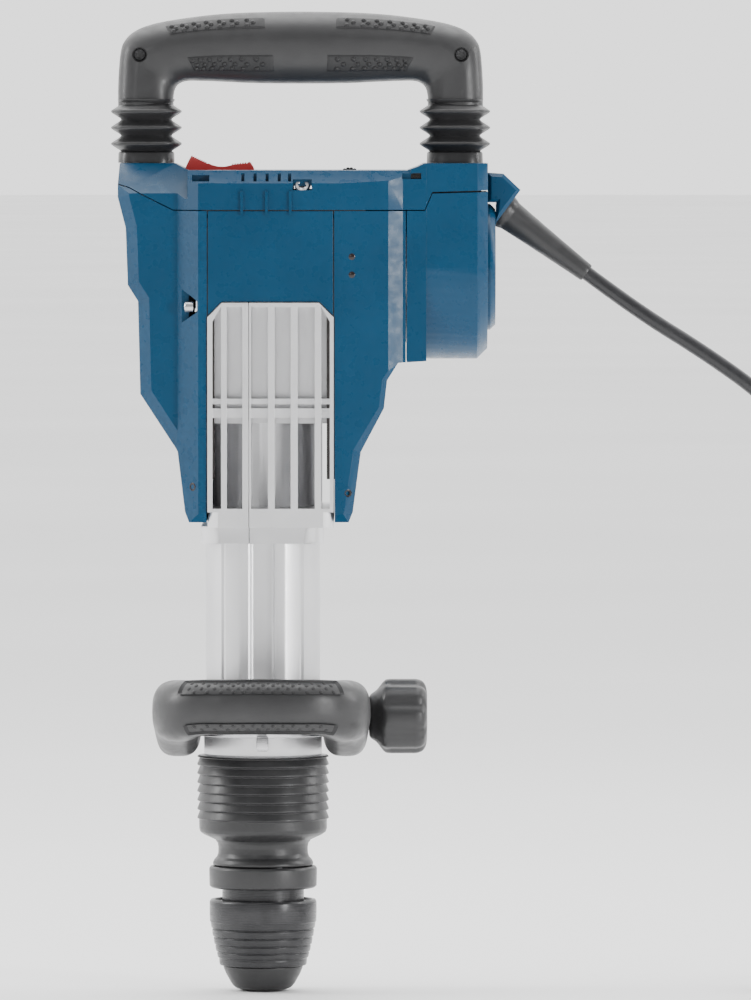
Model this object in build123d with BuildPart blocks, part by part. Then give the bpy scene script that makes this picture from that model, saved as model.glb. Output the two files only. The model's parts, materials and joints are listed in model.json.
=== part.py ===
"""Electric demolition hammer with a transverse motor, crank drive, damped top handle and swivel side handle.

Frame: +Z runs up the hammer axis, from the mouth of the tool socket at the origin towards the top handle.
+X points to the motor and the cord, -Y to the front. All sizes are millimetres.
"""

import math
import os

from build123d import *

# ---- driving dimensions -------------------------------------------------------------------------------
TOOL_HEIGHT = 570.5  # socket mouth to the top of the main handle
CENTRE_HALF_DEPTH = 60.0  # front and rear faces of the centre column
WALL = 3.0  # plastic shells
GAP = 0.6  # open joint between neighbouring covers
SLIDE_CLEARANCE = 0.07  # radial running clearance of pistons and shafts

# Heights along the hammer axis
SLEEVE_Z = (14.5, 53.0)
RING_Z = (59.8, 72.6)
BOOT_Z = (73.2, 137.3)
BARREL_Z = (134.4, 262.0)
BODY_BOTTOM_Z = 275.0
GRILLE_TOP_Z = 402.0
COVER_SEAM_Z = 455.3
SADDLE_Z = 478.4
COLLAR_Z = 482.4

# Drive: the motor lies across the tool, above the crank
CRANK_Z = 377.0
GEAR_MODULE = 1.25
PINION_TEETH = 8
GEAR_TEETH = 64
MOTOR_Z = CRANK_Z + GEAR_MODULE * (PINION_TEETH + GEAR_TEETH) / 2
CRANK_RADIUS = 20.0
ROD_LENGTH = 78.0
CYLINDER_BORE_R = 22.0
GEAR_X = (12.0, 24.0)
MOTOR_R = 53.5
MOTOR_X = (83.4, 130.6)

# Main handle
LEG_X = (-67.1, 110.5)  # centre lines of the two damped legs
LEG_SIZE = (32.0, 40.0)
HANDLE_HALF_DEPTH = 19.0

# Cord
CORD_R = 4.25
CORD_LENGTH = 4000.0
BOOT_START = Vector(140.6, 0, 454.3)
BOOT_DIRECTION = Vector(0.8, 0, -0.6)
BOOT_LENGTH = 60.0

os.makedirs("parts", exist_ok=True)


def save(part, name):
    part.label = name
    export_step(part, f"parts/{name}.step")


# ---- shape helpers --------------------------------------------------------------------------------------
def turned(*outline):
    """A body of revolution about the hammer axis from (radius, z) points."""
    with BuildPart() as body:
        with BuildSketch(Plane.XZ):
            with BuildLine():
                Polyline(*outline, close=True)
            make_face()
        revolve(axis=Axis.Z)
    return body.part


def turned_across(axis_z, *outline, y=0.0):
    """A body of revolution about a cross axis (along X) at height axis_z, from (x, radius) points."""
    with BuildPart() as body:
        with BuildSketch(Plane.XZ.offset(-y)):
            with BuildLine():
                Polyline(*[(x, axis_z + r) for x, r in outline], close=True)
            make_face()
        revolve(axis=Axis((0, y, axis_z), (1, 0, 0)))
    return body.part


def tube_z(outer_r, inner_r, low, high):
    return turned((inner_r, low), (outer_r, low), (outer_r, high), (inner_r, high))


def tube_x(axis_z, outer_r, inner_r, low, high, y=0.0):
    return turned_across(axis_z, (low, inner_r), (high, inner_r), (high, outer_r), (low, outer_r), y=y)


def rod_x(axis_z, radius, low, high, y=0.0):
    return turned_across(axis_z, (low, 0), (high, 0), (high, radius), (low, radius), y=y)


def block(x, y, z):
    """A box from (low, high) pairs."""
    with BuildPart() as body:
        with Locations((sum(x) / 2, sum(y) / 2, sum(z) / 2)):
            Box(x[1] - x[0], y[1] - y[0], z[1] - z[0])
    return body.part


def front_prism(outline, y_low, y_high):
    """An (x, z) outline extruded through the depth of the tool."""
    with BuildPart() as body:
        with BuildSketch(Plane.XZ.offset(-y_high)):
            Polygon(*outline, align=None)
        extrude(amount=y_high - y_low)
    return body.part


def coil_spring(mean_r, wire_r, low, high, turns, centre=(0.0, 0.0)):
    """A round wire spring whose outer wire surface spans low to high."""
    height = high - low - 2 * wire_r
    with BuildPart() as spring:
        with BuildLine(Plane((centre[0], centre[1], low + wire_r))) as wire:
            Helix(pitch=height / turns, height=height, radius=mean_r)
        with BuildSketch(Plane(wire.line @ 0, z_dir=wire.line % 0)):
            Circle(wire_r)
        sweep()
    return spring.part


def screw_z(x, y, head_low, head_high, tip_z, head_r=5.0, shank_r=2.4, socket_r=2.2):
    """A cap screw along Z with a socket in its head; tip_z is on the other side of the head."""
    head_is_up = tip_z < head_low
    socket = (head_high - 2.5, head_high) if head_is_up else (head_low, head_low + 2.5)
    shank = (tip_z, head_low) if head_is_up else (head_high, tip_z)
    with BuildPart(Plane((x, y, 0))) as screw:
        with BuildSketch(Plane((x, y, head_low))):
            Circle(head_r)
        extrude(amount=head_high - head_low)
        with BuildSketch(Plane((x, y, shank[0]))):
            Circle(shank_r)
        extrude(amount=shank[1] - shank[0])
        with BuildSketch(Plane((x, y, socket[0]))):
            RegularPolygon(socket_r, 6)
        extrude(amount=socket[1] - socket[0], mode=Mode.SUBTRACT)
    return screw.part


def screw_along(origin, direction, head_length, head_r, shank_length, shank_r):
    """A cap screw: origin is the outer face of its head, direction points into the work."""
    face = Plane(origin, z_dir=direction)
    with BuildPart(face) as screw:
        with BuildSketch(face):
            Circle(head_r)
        extrude(amount=head_length)
        with BuildSketch(face.offset(head_length)):
            Circle(shank_r)
        extrude(amount=shank_length)
        with BuildSketch(face):
            RegularPolygon(head_r * 0.5, 6)
        extrude(amount=head_length * 0.55, mode=Mode.SUBTRACT)
    return screw.part


def gathered(*parts):
    """Several separate solids as one node."""
    return Compound(children=[solid for part in parts for solid in part.solids()])


# ---- nose: dust cap, locking sleeve, tool holder --------------------------------------------------------
BORE_R = 9.1  # running guide for an 18 mm shank
GUIDE_END_Z = 24.0
NECK_R = 23.9
HOLDER_WAIST_R = 18.2
ROLLER_Z = (27.5, 38.5)
ROLLER_R = 5.0
ROLLER_Y = 12.8


def make_dust_cap():
    with BuildPart() as dust_cap:
        with BuildSketch(Plane.XZ):
            with BuildLine():
                Polyline((BORE_R, 0), (12.5, 0))
                ThreePointArc((12.5, 0), (16.0, 1.3), (18.0, 4.2))
                Polyline(
                    (18.0, 4.2), (22.6, 12.0), (23.2, 14.2), (15.1, 14.2), (15.1, 4.0), (BORE_R, 4.0), (BORE_R, 0),
                )
            make_face()
        revolve(axis=Axis.Z)
    save(dust_cap.part, "dust_cap")


def make_tool_holder():
    """Rotating spindle: guide bore, drive keys, roller windows, and the guide of the impact bolt."""
    outline = (
        (BORE_R, 4.05), (15.0, 4.05), (15.0, 14.3), (HOLDER_WAIST_R, 14.3), (HOLDER_WAIST_R, 50.0),
        (NECK_R, 50.0), (NECK_R, 129.0), (27.8, 129.0), (27.8, 133.8), (24.9, 133.8), (24.9, 164.0),
        (16.05, 164.0), (16.05, 126.0), (11.05, 126.0), (11.05, 95.0), (9.3, 95.0), (9.3, 64.0),
        (9.8, 64.0), (9.8, GUIDE_END_Z), (BORE_R, GUIDE_END_Z),
    )
    with BuildPart() as tool_holder:
        add(turned(*outline))
        with PolarLocations(8.9, 3, start_angle=90):  # three drive keys
            with Locations((0, 0, 53.0)):
                Box(2.6, 3.6, 18.0)
        with Locations((0, 0, sum(ROLLER_Z) / 2)):  # one window through both walls
            Box(2 * ROLLER_R + 0.6, 60, ROLLER_Z[1] - ROLLER_Z[0] + 0.6, mode=Mode.SUBTRACT)
    save(tool_holder.part, "tool_holder")


def make_locking_rollers():
    with BuildPart() as locking_rollers:
        with Locations((0, ROLLER_Y, sum(ROLLER_Z) / 2), (0, -ROLLER_Y, sum(ROLLER_Z) / 2)):
            Cylinder(ROLLER_R, ROLLER_Z[1] - ROLLER_Z[0])
        chamfer(locking_rollers.edges().filter_by(GeomType.CIRCLE), 1.0)
    save(locking_rollers.part, "locking_rollers")


def make_locking_sleeve():
    """Stepped grip sleeve. It slides up by the width of the gap under the adjusting ring."""
    low, high = SLEEVE_Z
    steps = ((25.4, 17.6), (25.9, 21.6), (27.0, 25.6), (27.9, 30.6), (29.2, 36.2), (29.8, 38.6))
    outline = [(18.4, low), (25.0, low)]
    for radius, top in steps:
        outline += [(radius, outline[-1][1] + 0.4), (radius, top)]
    outline += [(31.0, 39.2), (31.0, 51.6), (29.0, high), (24.25, high), (24.25, 40.4), (18.4, 40.4)]
    with BuildPart() as locking_sleeve:
        add(turned(*outline))
        with Locations((0, -29, high)):  # index notch at the rim
            Box(1.6, 12, 3.0, mode=Mode.SUBTRACT)
    save(locking_sleeve.part, "locking_sleeve")
    save(coil_spring(21.2, 0.9, 40.5, 49.8, 2.4), "locking_sleeve_spring")


def make_adjusting_ring():
    """Ring with grip flutes that frees the holder for turning when it is pushed forward."""
    low, high = RING_Z
    with BuildPart() as adjusting_ring:
        profile = ((24.2, low), (29.9, low), (31.2, low + 1.3), (31.5, high - 2.2), (30.8, high), (24.2, high))
        add(turned(*profile))
        with BuildSketch(Plane.XY.offset(high - 4.2)):
            Circle(28.4)
            Circle(26.6, mode=Mode.SUBTRACT)
        extrude(amount=5, mode=Mode.SUBTRACT)
    save(adjusting_ring.part, "adjusting_ring")


def make_front_boot():
    """Ribbed rubber sleeve over the front housing, necking down to the adjusting ring."""
    low, high = BOOT_Z
    rib_count, rib_start, rib_pitch = 7, 99.0, 5.3
    with BuildPart() as front_boot:
        with BuildSketch(Plane.XZ):
            with BuildLine():
                Polyline((24.6, low), (29.4, low), (28.8, 75.2), (26.6, 77.6), (26.1, 80.0), (26.4, 83.6))
                ThreePointArc((26.4, 83.6), (27.6, 86.6), (30.6, 88.4))
                Polyline((30.6, 88.4), (35.8, 91.3), (37.2, 93.8), (37.3, rib_start))
                outline = [(37.3, rib_start)]
                for i in range(rib_count):
                    base = rib_start + i * rib_pitch
                    outline += [(38.4, base + 0.8), (37.9, base + 3.6), (36.9, base + 4.5)]
                    outline.append((36.9, base + rib_pitch))
                outline += [(38.2, high - 0.8), (37.4, high), (34.9, high), (34.9, 96.0), (24.6, 84.0)]
                outline.append((24.6, low))
                Polyline(*outline)
            make_face()
        revolve(axis=Axis.Z)
    save(front_boot.part, "front_boot")


def make_front_housing():
    """Bearing housing of the tool holder, bolted to the barrel's flange."""
    outline = (
        (26.0, 87.2), (26.4, 87.2), (33.8, 98.0), (34.0, 128.0), (34.6, 128.0), (34.6, 134.2),
        (28.2, 134.2), (28.2, 128.6), (26.0, 128.6),
    )
    with BuildPart() as front_housing:
        add(turned(*outline))
        with PolarLocations(30.9, 4, start_angle=45):
            with Locations((0, 0, 120)):
                Cylinder(2.5, 40, mode=Mode.SUBTRACT)
    save(front_housing.part, "front_housing")
    save(tube_z(25.95, NECK_R + SLIDE_CLEARANCE, 88.6, 128.0), "holder_bush")


# ---- barrel and hammer mechanism ------------------------------------------------------------------------
BARREL_R = 33.6
SEAT_R = 34.4
SEAT_Z = (146.0, 181.0)  # smooth seat of the side handle's band


def make_barrel_housing():
    """Fluted aluminium barrel: bolt channels, a flat name strip and a smooth seat for the side handle."""
    low, high = BARREL_Z
    flute_low = SEAT_Z[1] + 1.0
    with BuildPart() as barrel_housing:
        add(tube_z(BARREL_R, 25.15, low, high))
        with BuildSketch(Plane.XY.offset(low)):
            Circle(SEAT_R)
            Circle(30, mode=Mode.SUBTRACT)
        extrude(amount=SEAT_Z[1] - low)
        for angle in (38, 142, 218, 322):  # shallow flutes between the bolt channels
            with PolarLocations(BARREL_R + 5.5, 1, start_angle=angle):
                with Locations((0, 0, (flute_low + high) / 2)):
                    Cylinder(8.0, high - flute_low, mode=Mode.SUBTRACT)
        for angle in (0, 180, 247, 293, 67, 113):
            with PolarLocations(BARREL_R + 0.9, 1, start_angle=angle):
                with Locations((0, 0, (flute_low + high) / 2)):
                    Box(3.4, 2.2, high - flute_low, mode=Mode.SUBTRACT)
        for side in (-1, 1):  # recessed strip framed by two fine rails
            with Locations((0, side * BARREL_R, (flute_low + high) / 2 - 1)):
                Box(12.0, 4.2, high - flute_low - 6, mode=Mode.SUBTRACT)
        with Locations((0, -SEAT_R, 142.8)):  # alignment rib above the flange
            Box(7.4, 3.0, 10.0)
        with PolarLocations(30.9, 4, start_angle=45):  # blind threads for the front housing
            with Locations((0, 0, low + 8)):
                Cylinder(2.1, 16.2, mode=Mode.SUBTRACT)
        with BuildSketch(Plane.XY.offset(low)):
            Circle(25.15)
        extrude(amount=high - low, mode=Mode.SUBTRACT)
    save(barrel_housing.part, "barrel_housing")


def make_hammer_tube():
    """Cylinder in which the piston and the striker run, with its vent holes."""
    with BuildPart() as hammer_tube:
        add(tube_z(25.0, CYLINDER_BORE_R, 172.0, 332.0))
        with PolarLocations(23.5, 6):
            with Locations(Location((0, 0, 236), (0, 90, 0))):
                Cylinder(1.5, 12, mode=Mode.SUBTRACT)
    save(hammer_tube.part, "hammer_tube")


def make_striker():
    radius = CYLINDER_BORE_R - SLIDE_CLEARANCE
    outline = (
        (0, 172.0), (10.0, 172.0), (17.0, 175.0), (radius, 178.0), (radius, 206.0), (19.6, 206.0),
        (19.6, 209.0), (radius, 209.0), (radius, 223.0), (20.0, 225.0), (0, 225.0),
    )
    save(turned(*outline), "striker")


def make_impact_bolt():
    """Anvil between the striker and the tool's shank."""
    outline = (
        (0, 95.6), (9.8, 95.6), (10.98, 96.8), (10.98, 126.4), (15.98, 126.4), (15.98, 156.0), (11.0, 160.0),
        (11.0, 163.2), (0, 163.2),
    )
    save(turned(*outline), "impact_bolt")


PISTON_Z = (256.0, 290.0)
WRIST_Z = CRANK_Z - CRANK_RADIUS - ROD_LENGTH
BIG_END_Z = CRANK_Z - CRANK_RADIUS


def make_piston():
    radius = CYLINDER_BORE_R - SLIDE_CLEARANCE
    low, high = PISTON_Z
    outline = (
        (0, low), (20.8, low), (radius, low + 1.2), (radius, 260.0), (19.6, 260.0), (19.6, 263.0),
        (radius, 263.0), (radius, high), (17.0, high), (17.0, 266.0), (0, 266.0),
    )
    with BuildPart() as piston:
        add(turned(*outline))
        add(rod_x(WRIST_Z, 5.0, -20.4, 20.4), mode=Mode.SUBTRACT)
    save(piston.part, "piston")
    save(rod_x(WRIST_Z, 4.98, -20.3, 20.3), "wrist_pin")


def make_connecting_rod():
    """I-section rod in line with the cylinder at bottom dead centre."""
    half_width = 6.0
    with BuildPart() as connecting_rod:
        with BuildSketch(Plane.YZ.offset(-half_width)):
            with Locations((0, WRIST_Z)):
                Circle(9.4)
            with Locations((0, BIG_END_Z)):
                Circle(14.0)
            with Locations((0, (WRIST_Z + BIG_END_Z) / 2)):
                Rectangle(11.0, ROD_LENGTH)
        extrude(amount=2 * half_width)
        for side in (-1, 1):  # web pockets
            with Locations((side * half_width, 0, 314.0)):
                Box(7.0, 6.0, 36.0, mode=Mode.SUBTRACT)
        add(rod_x(WRIST_Z, 5.04, -10, 10), mode=Mode.SUBTRACT)
        add(rod_x(BIG_END_Z, 8.05, -10, 10), mode=Mode.SUBTRACT)
    save(connecting_rod.part, "connecting_rod")
    crank_pin = turned_across(BIG_END_Z, (-7.6, 0), (11.6, 0), (11.6, 8.0), (-6.6, 8.0), (-7.6, 7.0))
    save(crank_pin, "crank_pin")


# ---- gears ----------------------------------------------------------------------------------------------
PRESSURE_ANGLE = math.radians(20)
PROFILE_SHIFT = 0.53  # lengthens the pinion's teeth, which would be undercut without it
FLANK_RELIEF = 0.12
TIP_RELIEF = 0.4  # keeps the pinion's tips from coming to an edge


def involute(angle):
    return math.tan(angle) - angle


def gear_outline(teeth, shift, first_tooth_angle):
    """Closed list of (y, z) points of an involute gear, centred on the origin."""
    pitch_r = GEAR_MODULE * teeth / 2
    base_r = pitch_r * math.cos(PRESSURE_ANGLE)
    tip_r = pitch_r + GEAR_MODULE * (1 + shift) - TIP_RELIEF
    root_r = pitch_r - GEAR_MODULE * (1.25 - shift)
    thickness = GEAR_MODULE * (math.pi / 2 + 2 * shift * math.tan(PRESSURE_ANGLE)) - 2 * FLANK_RELIEF
    half_at_pitch = thickness / (2 * pitch_r)
    start_r = max(base_r, root_r)
    steps = 5
    flank = [(root_r, half_at_pitch + involute(PRESSURE_ANGLE))] if root_r < base_r else []
    for i in range(steps):
        radius = start_r + (tip_r - start_r) * i / (steps - 1)
        roll = math.acos(min(1.0, base_r / radius))
        flank.append((radius, half_at_pitch + involute(PRESSURE_ANGLE) - involute(roll)))
    points = []
    for tooth in range(teeth):
        centre = first_tooth_angle + 2 * math.pi * tooth / teeth
        side = [(r, centre - half) for r, half in flank] + [(r, centre + half) for r, half in reversed(flank)]
        points += [(r * math.cos(a), r * math.sin(a)) for r, a in side]
    return points


def make_gears():
    """The pinion's lowest tooth points down into the gear's topmost gap."""
    with BuildPart() as crank_gear:
        with BuildSketch(Plane((GEAR_X[0], 0, CRANK_Z), x_dir=(0, 1, 0), z_dir=(1, 0, 0))):
            Polygon(*gear_outline(GEAR_TEETH, -PROFILE_SHIFT, math.pi / 2 + math.pi / GEAR_TEETH), align=None)
        extrude(amount=GEAR_X[1] - GEAR_X[0])
        add(rod_x(CRANK_Z, 8.0, 14.0, 40.0), mode=Mode.SUBTRACT)
        for angle in (30, 150, 90):
            lightening = Vector(0, 26 * math.cos(math.radians(angle)), 26 * math.sin(math.radians(angle)))
            add(rod_x(CRANK_Z + lightening.Z, 6.5, 0, 40, y=lightening.Y), mode=Mode.SUBTRACT)
    save(crank_gear.part, "crank_gear")
    crankshaft = turned_across(CRANK_Z, (14.05, 0), (56.0, 0), (56.0, 7.0), (55.0, 7.97), (14.05, 7.97))
    save(crankshaft, "crankshaft")
    with BuildPart() as motor_pinion:
        with BuildSketch(Plane((10.6, 0, MOTOR_Z), x_dir=(0, 1, 0), z_dir=(1, 0, 0))):
            Polygon(*gear_outline(PINION_TEETH, PROFILE_SHIFT, -math.pi / 2), align=None)
        extrude(amount=15.6)
        add(rod_x(MOTOR_Z, 2.6, 8, 40), mode=Mode.SUBTRACT)
    save(motor_pinion.part, "motor_pinion")


# ---- motor ----------------------------------------------------------------------------------------------
FAN_X = (58.5, 70.0)
STATOR_X = (73.0, 104.0)
COMMUTATOR_X = (110.6, 121.0)


def make_armature():
    shaft = (
        (10.8, 0), (128.6, 0), (128.6, 4.0), (121.5, 4.97), (43.0, 4.97), (43.0, 6.5), (26.6, 6.5),
        (26.6, 2.55), (10.8, 2.55),
    )
    save(turned_across(MOTOR_Z, *shaft), "armature_shaft")
    with BuildPart() as armature_core:
        add(tube_x(MOTOR_Z, 22.0, 5.0, 74.0, 103.0))
        for i in range(16):  # winding slots
            angle = 2 * math.pi * i / 16
            slot = (MOTOR_Z + 21.4 * math.cos(angle), 21.4 * math.sin(angle))
            add(rod_x(slot[0], 1.3, 70, 110, y=slot[1]), mode=Mode.SUBTRACT)
    save(armature_core.part, "armature_core")
    front_coils = turned_across(MOTOR_Z, (70.6, 5.0), (73.9, 5.0), (73.9, 18.5), (72.0, 18.5), (70.6, 15.0))
    rear_profile = ((103.1, 5.0), (109.8, 5.0), (109.8, 12.0), (106.0, 18.5), (103.1, 18.5))
    rear_coils = turned_across(MOTOR_Z, *rear_profile)
    with BuildPart() as commutator:
        add(tube_x(MOTOR_Z, 12.5, 5.0, *COMMUTATOR_X))
        for i in range(24):  # slots between the copper bars
            angle = 2 * math.pi * i / 24
            place = (116.0, 12.4 * math.sin(angle), MOTOR_Z + 12.4 * math.cos(angle))
            with Locations(Location(place, (-math.degrees(angle), 0, 0))):
                Box(11.0, 0.5, 1.6, mode=Mode.SUBTRACT)
    save(gathered(front_coils, rear_coils, commutator.part), "armature_windings")


def make_cooling_fan():
    low, high = FAN_X
    with BuildPart() as cooling_fan:
        add(tube_x(MOTOR_Z, 12.0, 5.0, low, high))
        add(tube_x(MOTOR_Z, 42.0, 11.0, high - 1.8, high))
        for i in range(11):
            with Locations(Location((low + 5.2, 0, MOTOR_Z), (360 / 11 * i, 0, 0))):
                with Locations((0, 3.0, 27.0)):
                    Box(9.6, 1.6, 29.0)
    save(cooling_fan.part, "cooling_fan")


def make_stator():
    low, high = STATOR_X
    with BuildPart() as stator_core:
        add(tube_x(MOTOR_Z, 44.0, 22.8, low, high))
        for side in (-1, 1):  # coil pockets left and right of the armature
            with Locations((88.5, side * 29, MOTOR_Z)):
                Box(60, 14.0, 34.0, mode=Mode.SUBTRACT)
    save(stator_core.part, "stator_core")
    with BuildPart() as field_coils:
        for side in (-1, 1):
            with Locations((88.5, side * 29.3, MOTOR_Z)):
                Box(34.0, 9.0, 30.0)
    save(field_coils.part, "field_coils")


def ball_bearing(axis_z, inner_r, outer_r, low, high):
    """Inner race, outer race and balls of one bearing, as separate solids."""
    mean_r = (inner_r + outer_r) / 2
    middle = (low + high) / 2
    ball_r = (outer_r - inner_r) * 0.26
    race = (outer_r - inner_r) * 0.2
    inner = tube_x(axis_z, inner_r + race, inner_r, low, high)
    outer = tube_x(axis_z, outer_r, outer_r - race, low, high)
    with BuildPart() as balls:
        for i in range(7):
            angle = 2 * math.pi * i / 7
            with Locations((middle, mean_r * math.sin(angle), axis_z + mean_r * math.cos(angle))):
                Sphere(ball_r)
    return [inner, outer, balls.part]


def make_bearings():
    crank_inner = ball_bearing(CRANK_Z, 8.0, 17.5, 28.0, 38.0)
    crank_outer = ball_bearing(CRANK_Z, 8.0, 17.5, 44.0, 54.0)
    save(gathered(*crank_inner, *crank_outer), "crankshaft_bearings")
    motor_front = ball_bearing(MOTOR_Z, 5.0, 13.0, 45.0, 54.0)
    motor_rear = ball_bearing(MOTOR_Z, 5.0, 11.0, 122.0, 128.0)
    save(gathered(*motor_front, *motor_rear), "motor_bearings")


def make_brushes():
    """Carbon brushes on both sides of the commutator, in brass guides with their springs."""
    with BuildPart() as carbon_brushes:
        for side in (-1, 1):
            with Locations((116.0, side * (12.6 + 8.0), MOTOR_Z)):
                Box(6.0, 16.0, 9.0)
    save(carbon_brushes.part, "carbon_brushes")
    with BuildPart() as brush_holders:
        for side in (-1, 1):
            with Locations((116.0, side * 27.0, MOTOR_Z)):
                Box(9.0, 22.0, 12.0)
                Box(6.2, 30.0, 9.2, mode=Mode.SUBTRACT)
    save(brush_holders.part, "brush_holders")


# ---- silver gear housing --------------------------------------------------------------------------------
GRILLE_X = (-31.5, 41.4)
PARTING_X = -7.6
GRILLE_SLOTS = ((-28.6, -23.6), (-20.3, -11.3), (-6.3, 3.5), (7.4, 16.6), (20.7, 30.5), (34.3, 39.2))
GRILLE_SLOT_Z = (283.0, 399.6)
CROSS_BAR_Z = (335.5, 346.6)
GRILLE_FACE_Y = 61.2


def make_gear_housing():
    """Crankcase and finned cooling column. It parts into a left and a right casting."""
    x_low, x_high = GRILLE_X
    corner = 8.4
    octagon = (
        (x_low, 281.0), (x_high, 281.0), (x_high, GRILLE_TOP_Z - corner), (x_high - corner, GRILLE_TOP_Z),
        (x_low + corner, GRILLE_TOP_Z), (x_low, GRILLE_TOP_Z - corner),
    )
    inside = (
        (x_low + 2.4, 284.0), (x_high - 2.4, 284.0), (x_high - 2.4, GRILLE_TOP_Z - corner - 1),
        (x_high - corner - 1, GRILLE_TOP_Z - 2.4), (x_low + corner + 1, GRILLE_TOP_Z - 2.4),
        (x_low + 2.4, GRILLE_TOP_Z - corner - 1),
    )
    with BuildPart() as casting:
        add(front_prism(octagon, -GRILLE_FACE_Y, GRILLE_FACE_Y))
        add(front_prism(inside, -GRILLE_FACE_Y + 9, GRILLE_FACE_Y - 9), mode=Mode.SUBTRACT)
        for slot_low, slot_high in GRILLE_SLOTS:
            top_low = min(GRILLE_SLOT_Z[1], GRILLE_SLOT_Z[1] - (x_low + 11.4 - slot_low))
            top_high = min(GRILLE_SLOT_Z[1], GRILLE_SLOT_Z[1] - (slot_high - x_high + 10.6))
            window = (
                (slot_low, GRILLE_SLOT_Z[0]), (slot_high, GRILLE_SLOT_Z[0]), (slot_high, top_high),
                (slot_low, top_low),
            )
            add(front_prism(window, -80, 80), mode=Mode.SUBTRACT)
        for side in (-1, 1):  # the double bar behind the fins
            for z_low, z_high in ((CROSS_BAR_Z[0], 341.0), (343.4, CROSS_BAR_Z[1])):
                add(block((x_low, x_high), sorted((side * 53.0, side * 57.5)), (z_low, z_high)))
        # lower collar down to the barrel's top face
        with BuildSketch(Plane.XY.offset(BARREL_Z[1])):
            RectangleRounded(71.0, 74.0, 12.0)
        with BuildSketch(Plane.XY.offset(272.0)):
            RectangleRounded(71.0, 82.0, 10.0)
        loft()
        with BuildSketch(Plane.XY.offset(272.0)):
            with Locations(((x_low + x_high) / 2, 0)):
                RectangleRounded(x_high - x_low, 2 * GRILLE_FACE_Y - 4, 6.0)
        extrude(amount=10.0)
        add(tube_z(31.0, 24.0, 272.0, 336.0))
        # crankcase, open towards the bearing flange on its right
        add(block((-28.0, 38.4), (-47.0, 47.0), (332.0, 446.0)))
        add(block((-24.0, 38.4), (-43.6, 43.6), (335.2, 442.0)), mode=Mode.SUBTRACT)
        with BuildSketch(Plane.XY.offset(250.0)):
            Circle(25.15)
        extrude(amount=86.0, mode=Mode.SUBTRACT)
        add(block((38.3, 60.0), (-50, 50), (328.0, 450.0)), mode=Mode.SUBTRACT)
    left = casting.part & block((-90, PARTING_X - 0.2), (-90, 90), (240, 460))
    right = casting.part & block((PARTING_X + 0.2, 90), (-90, 90), (240, 460))
    save(left, "gear_housing_left")
    save(right, "gear_housing_right")


def make_bearing_flange():
    """Plate that closes the crankcase and carries the crankshaft's and the motor's front bearings."""
    with BuildPart() as bearing_flange:
        add(block((38.6, 42.4), (-47.0, 47.0), (332.0, 446.0)))
        add(rod_x(CRANK_Z, 21.0, 27.0, 55.0))
        add(rod_x(MOTOR_Z, 16.0, 38.6, 55.0))
        add(rod_x(CRANK_Z, 17.5, 27.9, 60.0), mode=Mode.SUBTRACT)
        add(rod_x(CRANK_Z, 10.0, 20.0, 60.0), mode=Mode.SUBTRACT)
        add(rod_x(MOTOR_Z, 13.0, 44.8, 60.0), mode=Mode.SUBTRACT)
        add(rod_x(MOTOR_Z, 8.0, 30.0, 60.0), mode=Mode.SUBTRACT)
    save(bearing_flange.part, "bearing_flange")


# ---- plastic housing ---------------------------------------------------------------------------------
WING_HALF_DEPTH = 48.0
WING_OUTLINE = (
    (-82.8, COLLAR_Z), (-83.6, 470.2), (-83.6, 463.0), (-79.0, 445.0), (-77.8, 412.0), (-71.9, 402.6),
    (-70.6, 348.9), (-48.9, 315.7), (-44.6, 281.0), (-42.2, BODY_BOTTOM_Z), (0, BODY_BOTTOM_Z), (0, COLLAR_Z),
)
COLUMN_OUTLINE = (
    (-56.0, COLLAR_Z - 2.2), (-56.0, 326.5), (-48.9, 315.7), (-44.6, 281.0), (-42.2, BODY_BOTTOM_Z),
    (50.1, BODY_BOTTOM_Z), (52.5, 281.0), (57.1, 315.7), (70.5, 341.0), (72.3, 357.0), (78.7, 367.2),
    (95.0, 368.2), (95.0, COLLAR_Z - 2.2),
)
COLUMN_PLAN = ((-49.5, 47.5), (-36.8, CENTRE_HALF_DEPTH), (46.0, CENTRE_HALF_DEPTH), (73.0, 57.4), (81.4, 53.6))
TOP_BEVEL = (13.0, 7.4)  # depth and height of the slope along the top edge
END_CAP_R = 36.7
VENT_X = (-11.0, -4.0, 3.0, 10.0, 16.0)
RIB_X = (-11.6, 2.6, 16.4)


def prism_blank(outline, inset, half_depth, edge):
    """An (x, z) outline as a slab about the middle plane, its front and rear edges bevelled."""
    with BuildPart() as slab:
        with BuildSketch(Plane.XZ.offset(-(half_depth - inset))):
            Polygon(*outline, align=None)
            if inset:
                offset(amount=-inset, kind=Kind.INTERSECTION)
        extrude(amount=2 * (half_depth - inset))
        flat_faces = slab.faces().filter_by(Axis.Y)
        chamfer(flat_faces.edges(), edge)
    return slab.part


def column_blank(inset):
    """The centre column: a faceted plan cut to the outline seen from the front."""
    mirrored = [(x, -y) for x, y in reversed(COLUMN_PLAN)]
    with BuildPart() as column:
        with BuildSketch(Plane.XY.offset(260.0)):
            Polygon(*COLUMN_PLAN, (95.0, 53.6), (95.0, -53.6), *mirrored, align=None)
            if inset:
                offset(amount=-inset, kind=Kind.INTERSECTION)
        extrude(amount=240.0)
        add(prism_blank(COLUMN_OUTLINE, inset, CENTRE_HALF_DEPTH + 3, 8.0 - inset), mode=Mode.INTERSECT)
    return column.part


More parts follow.
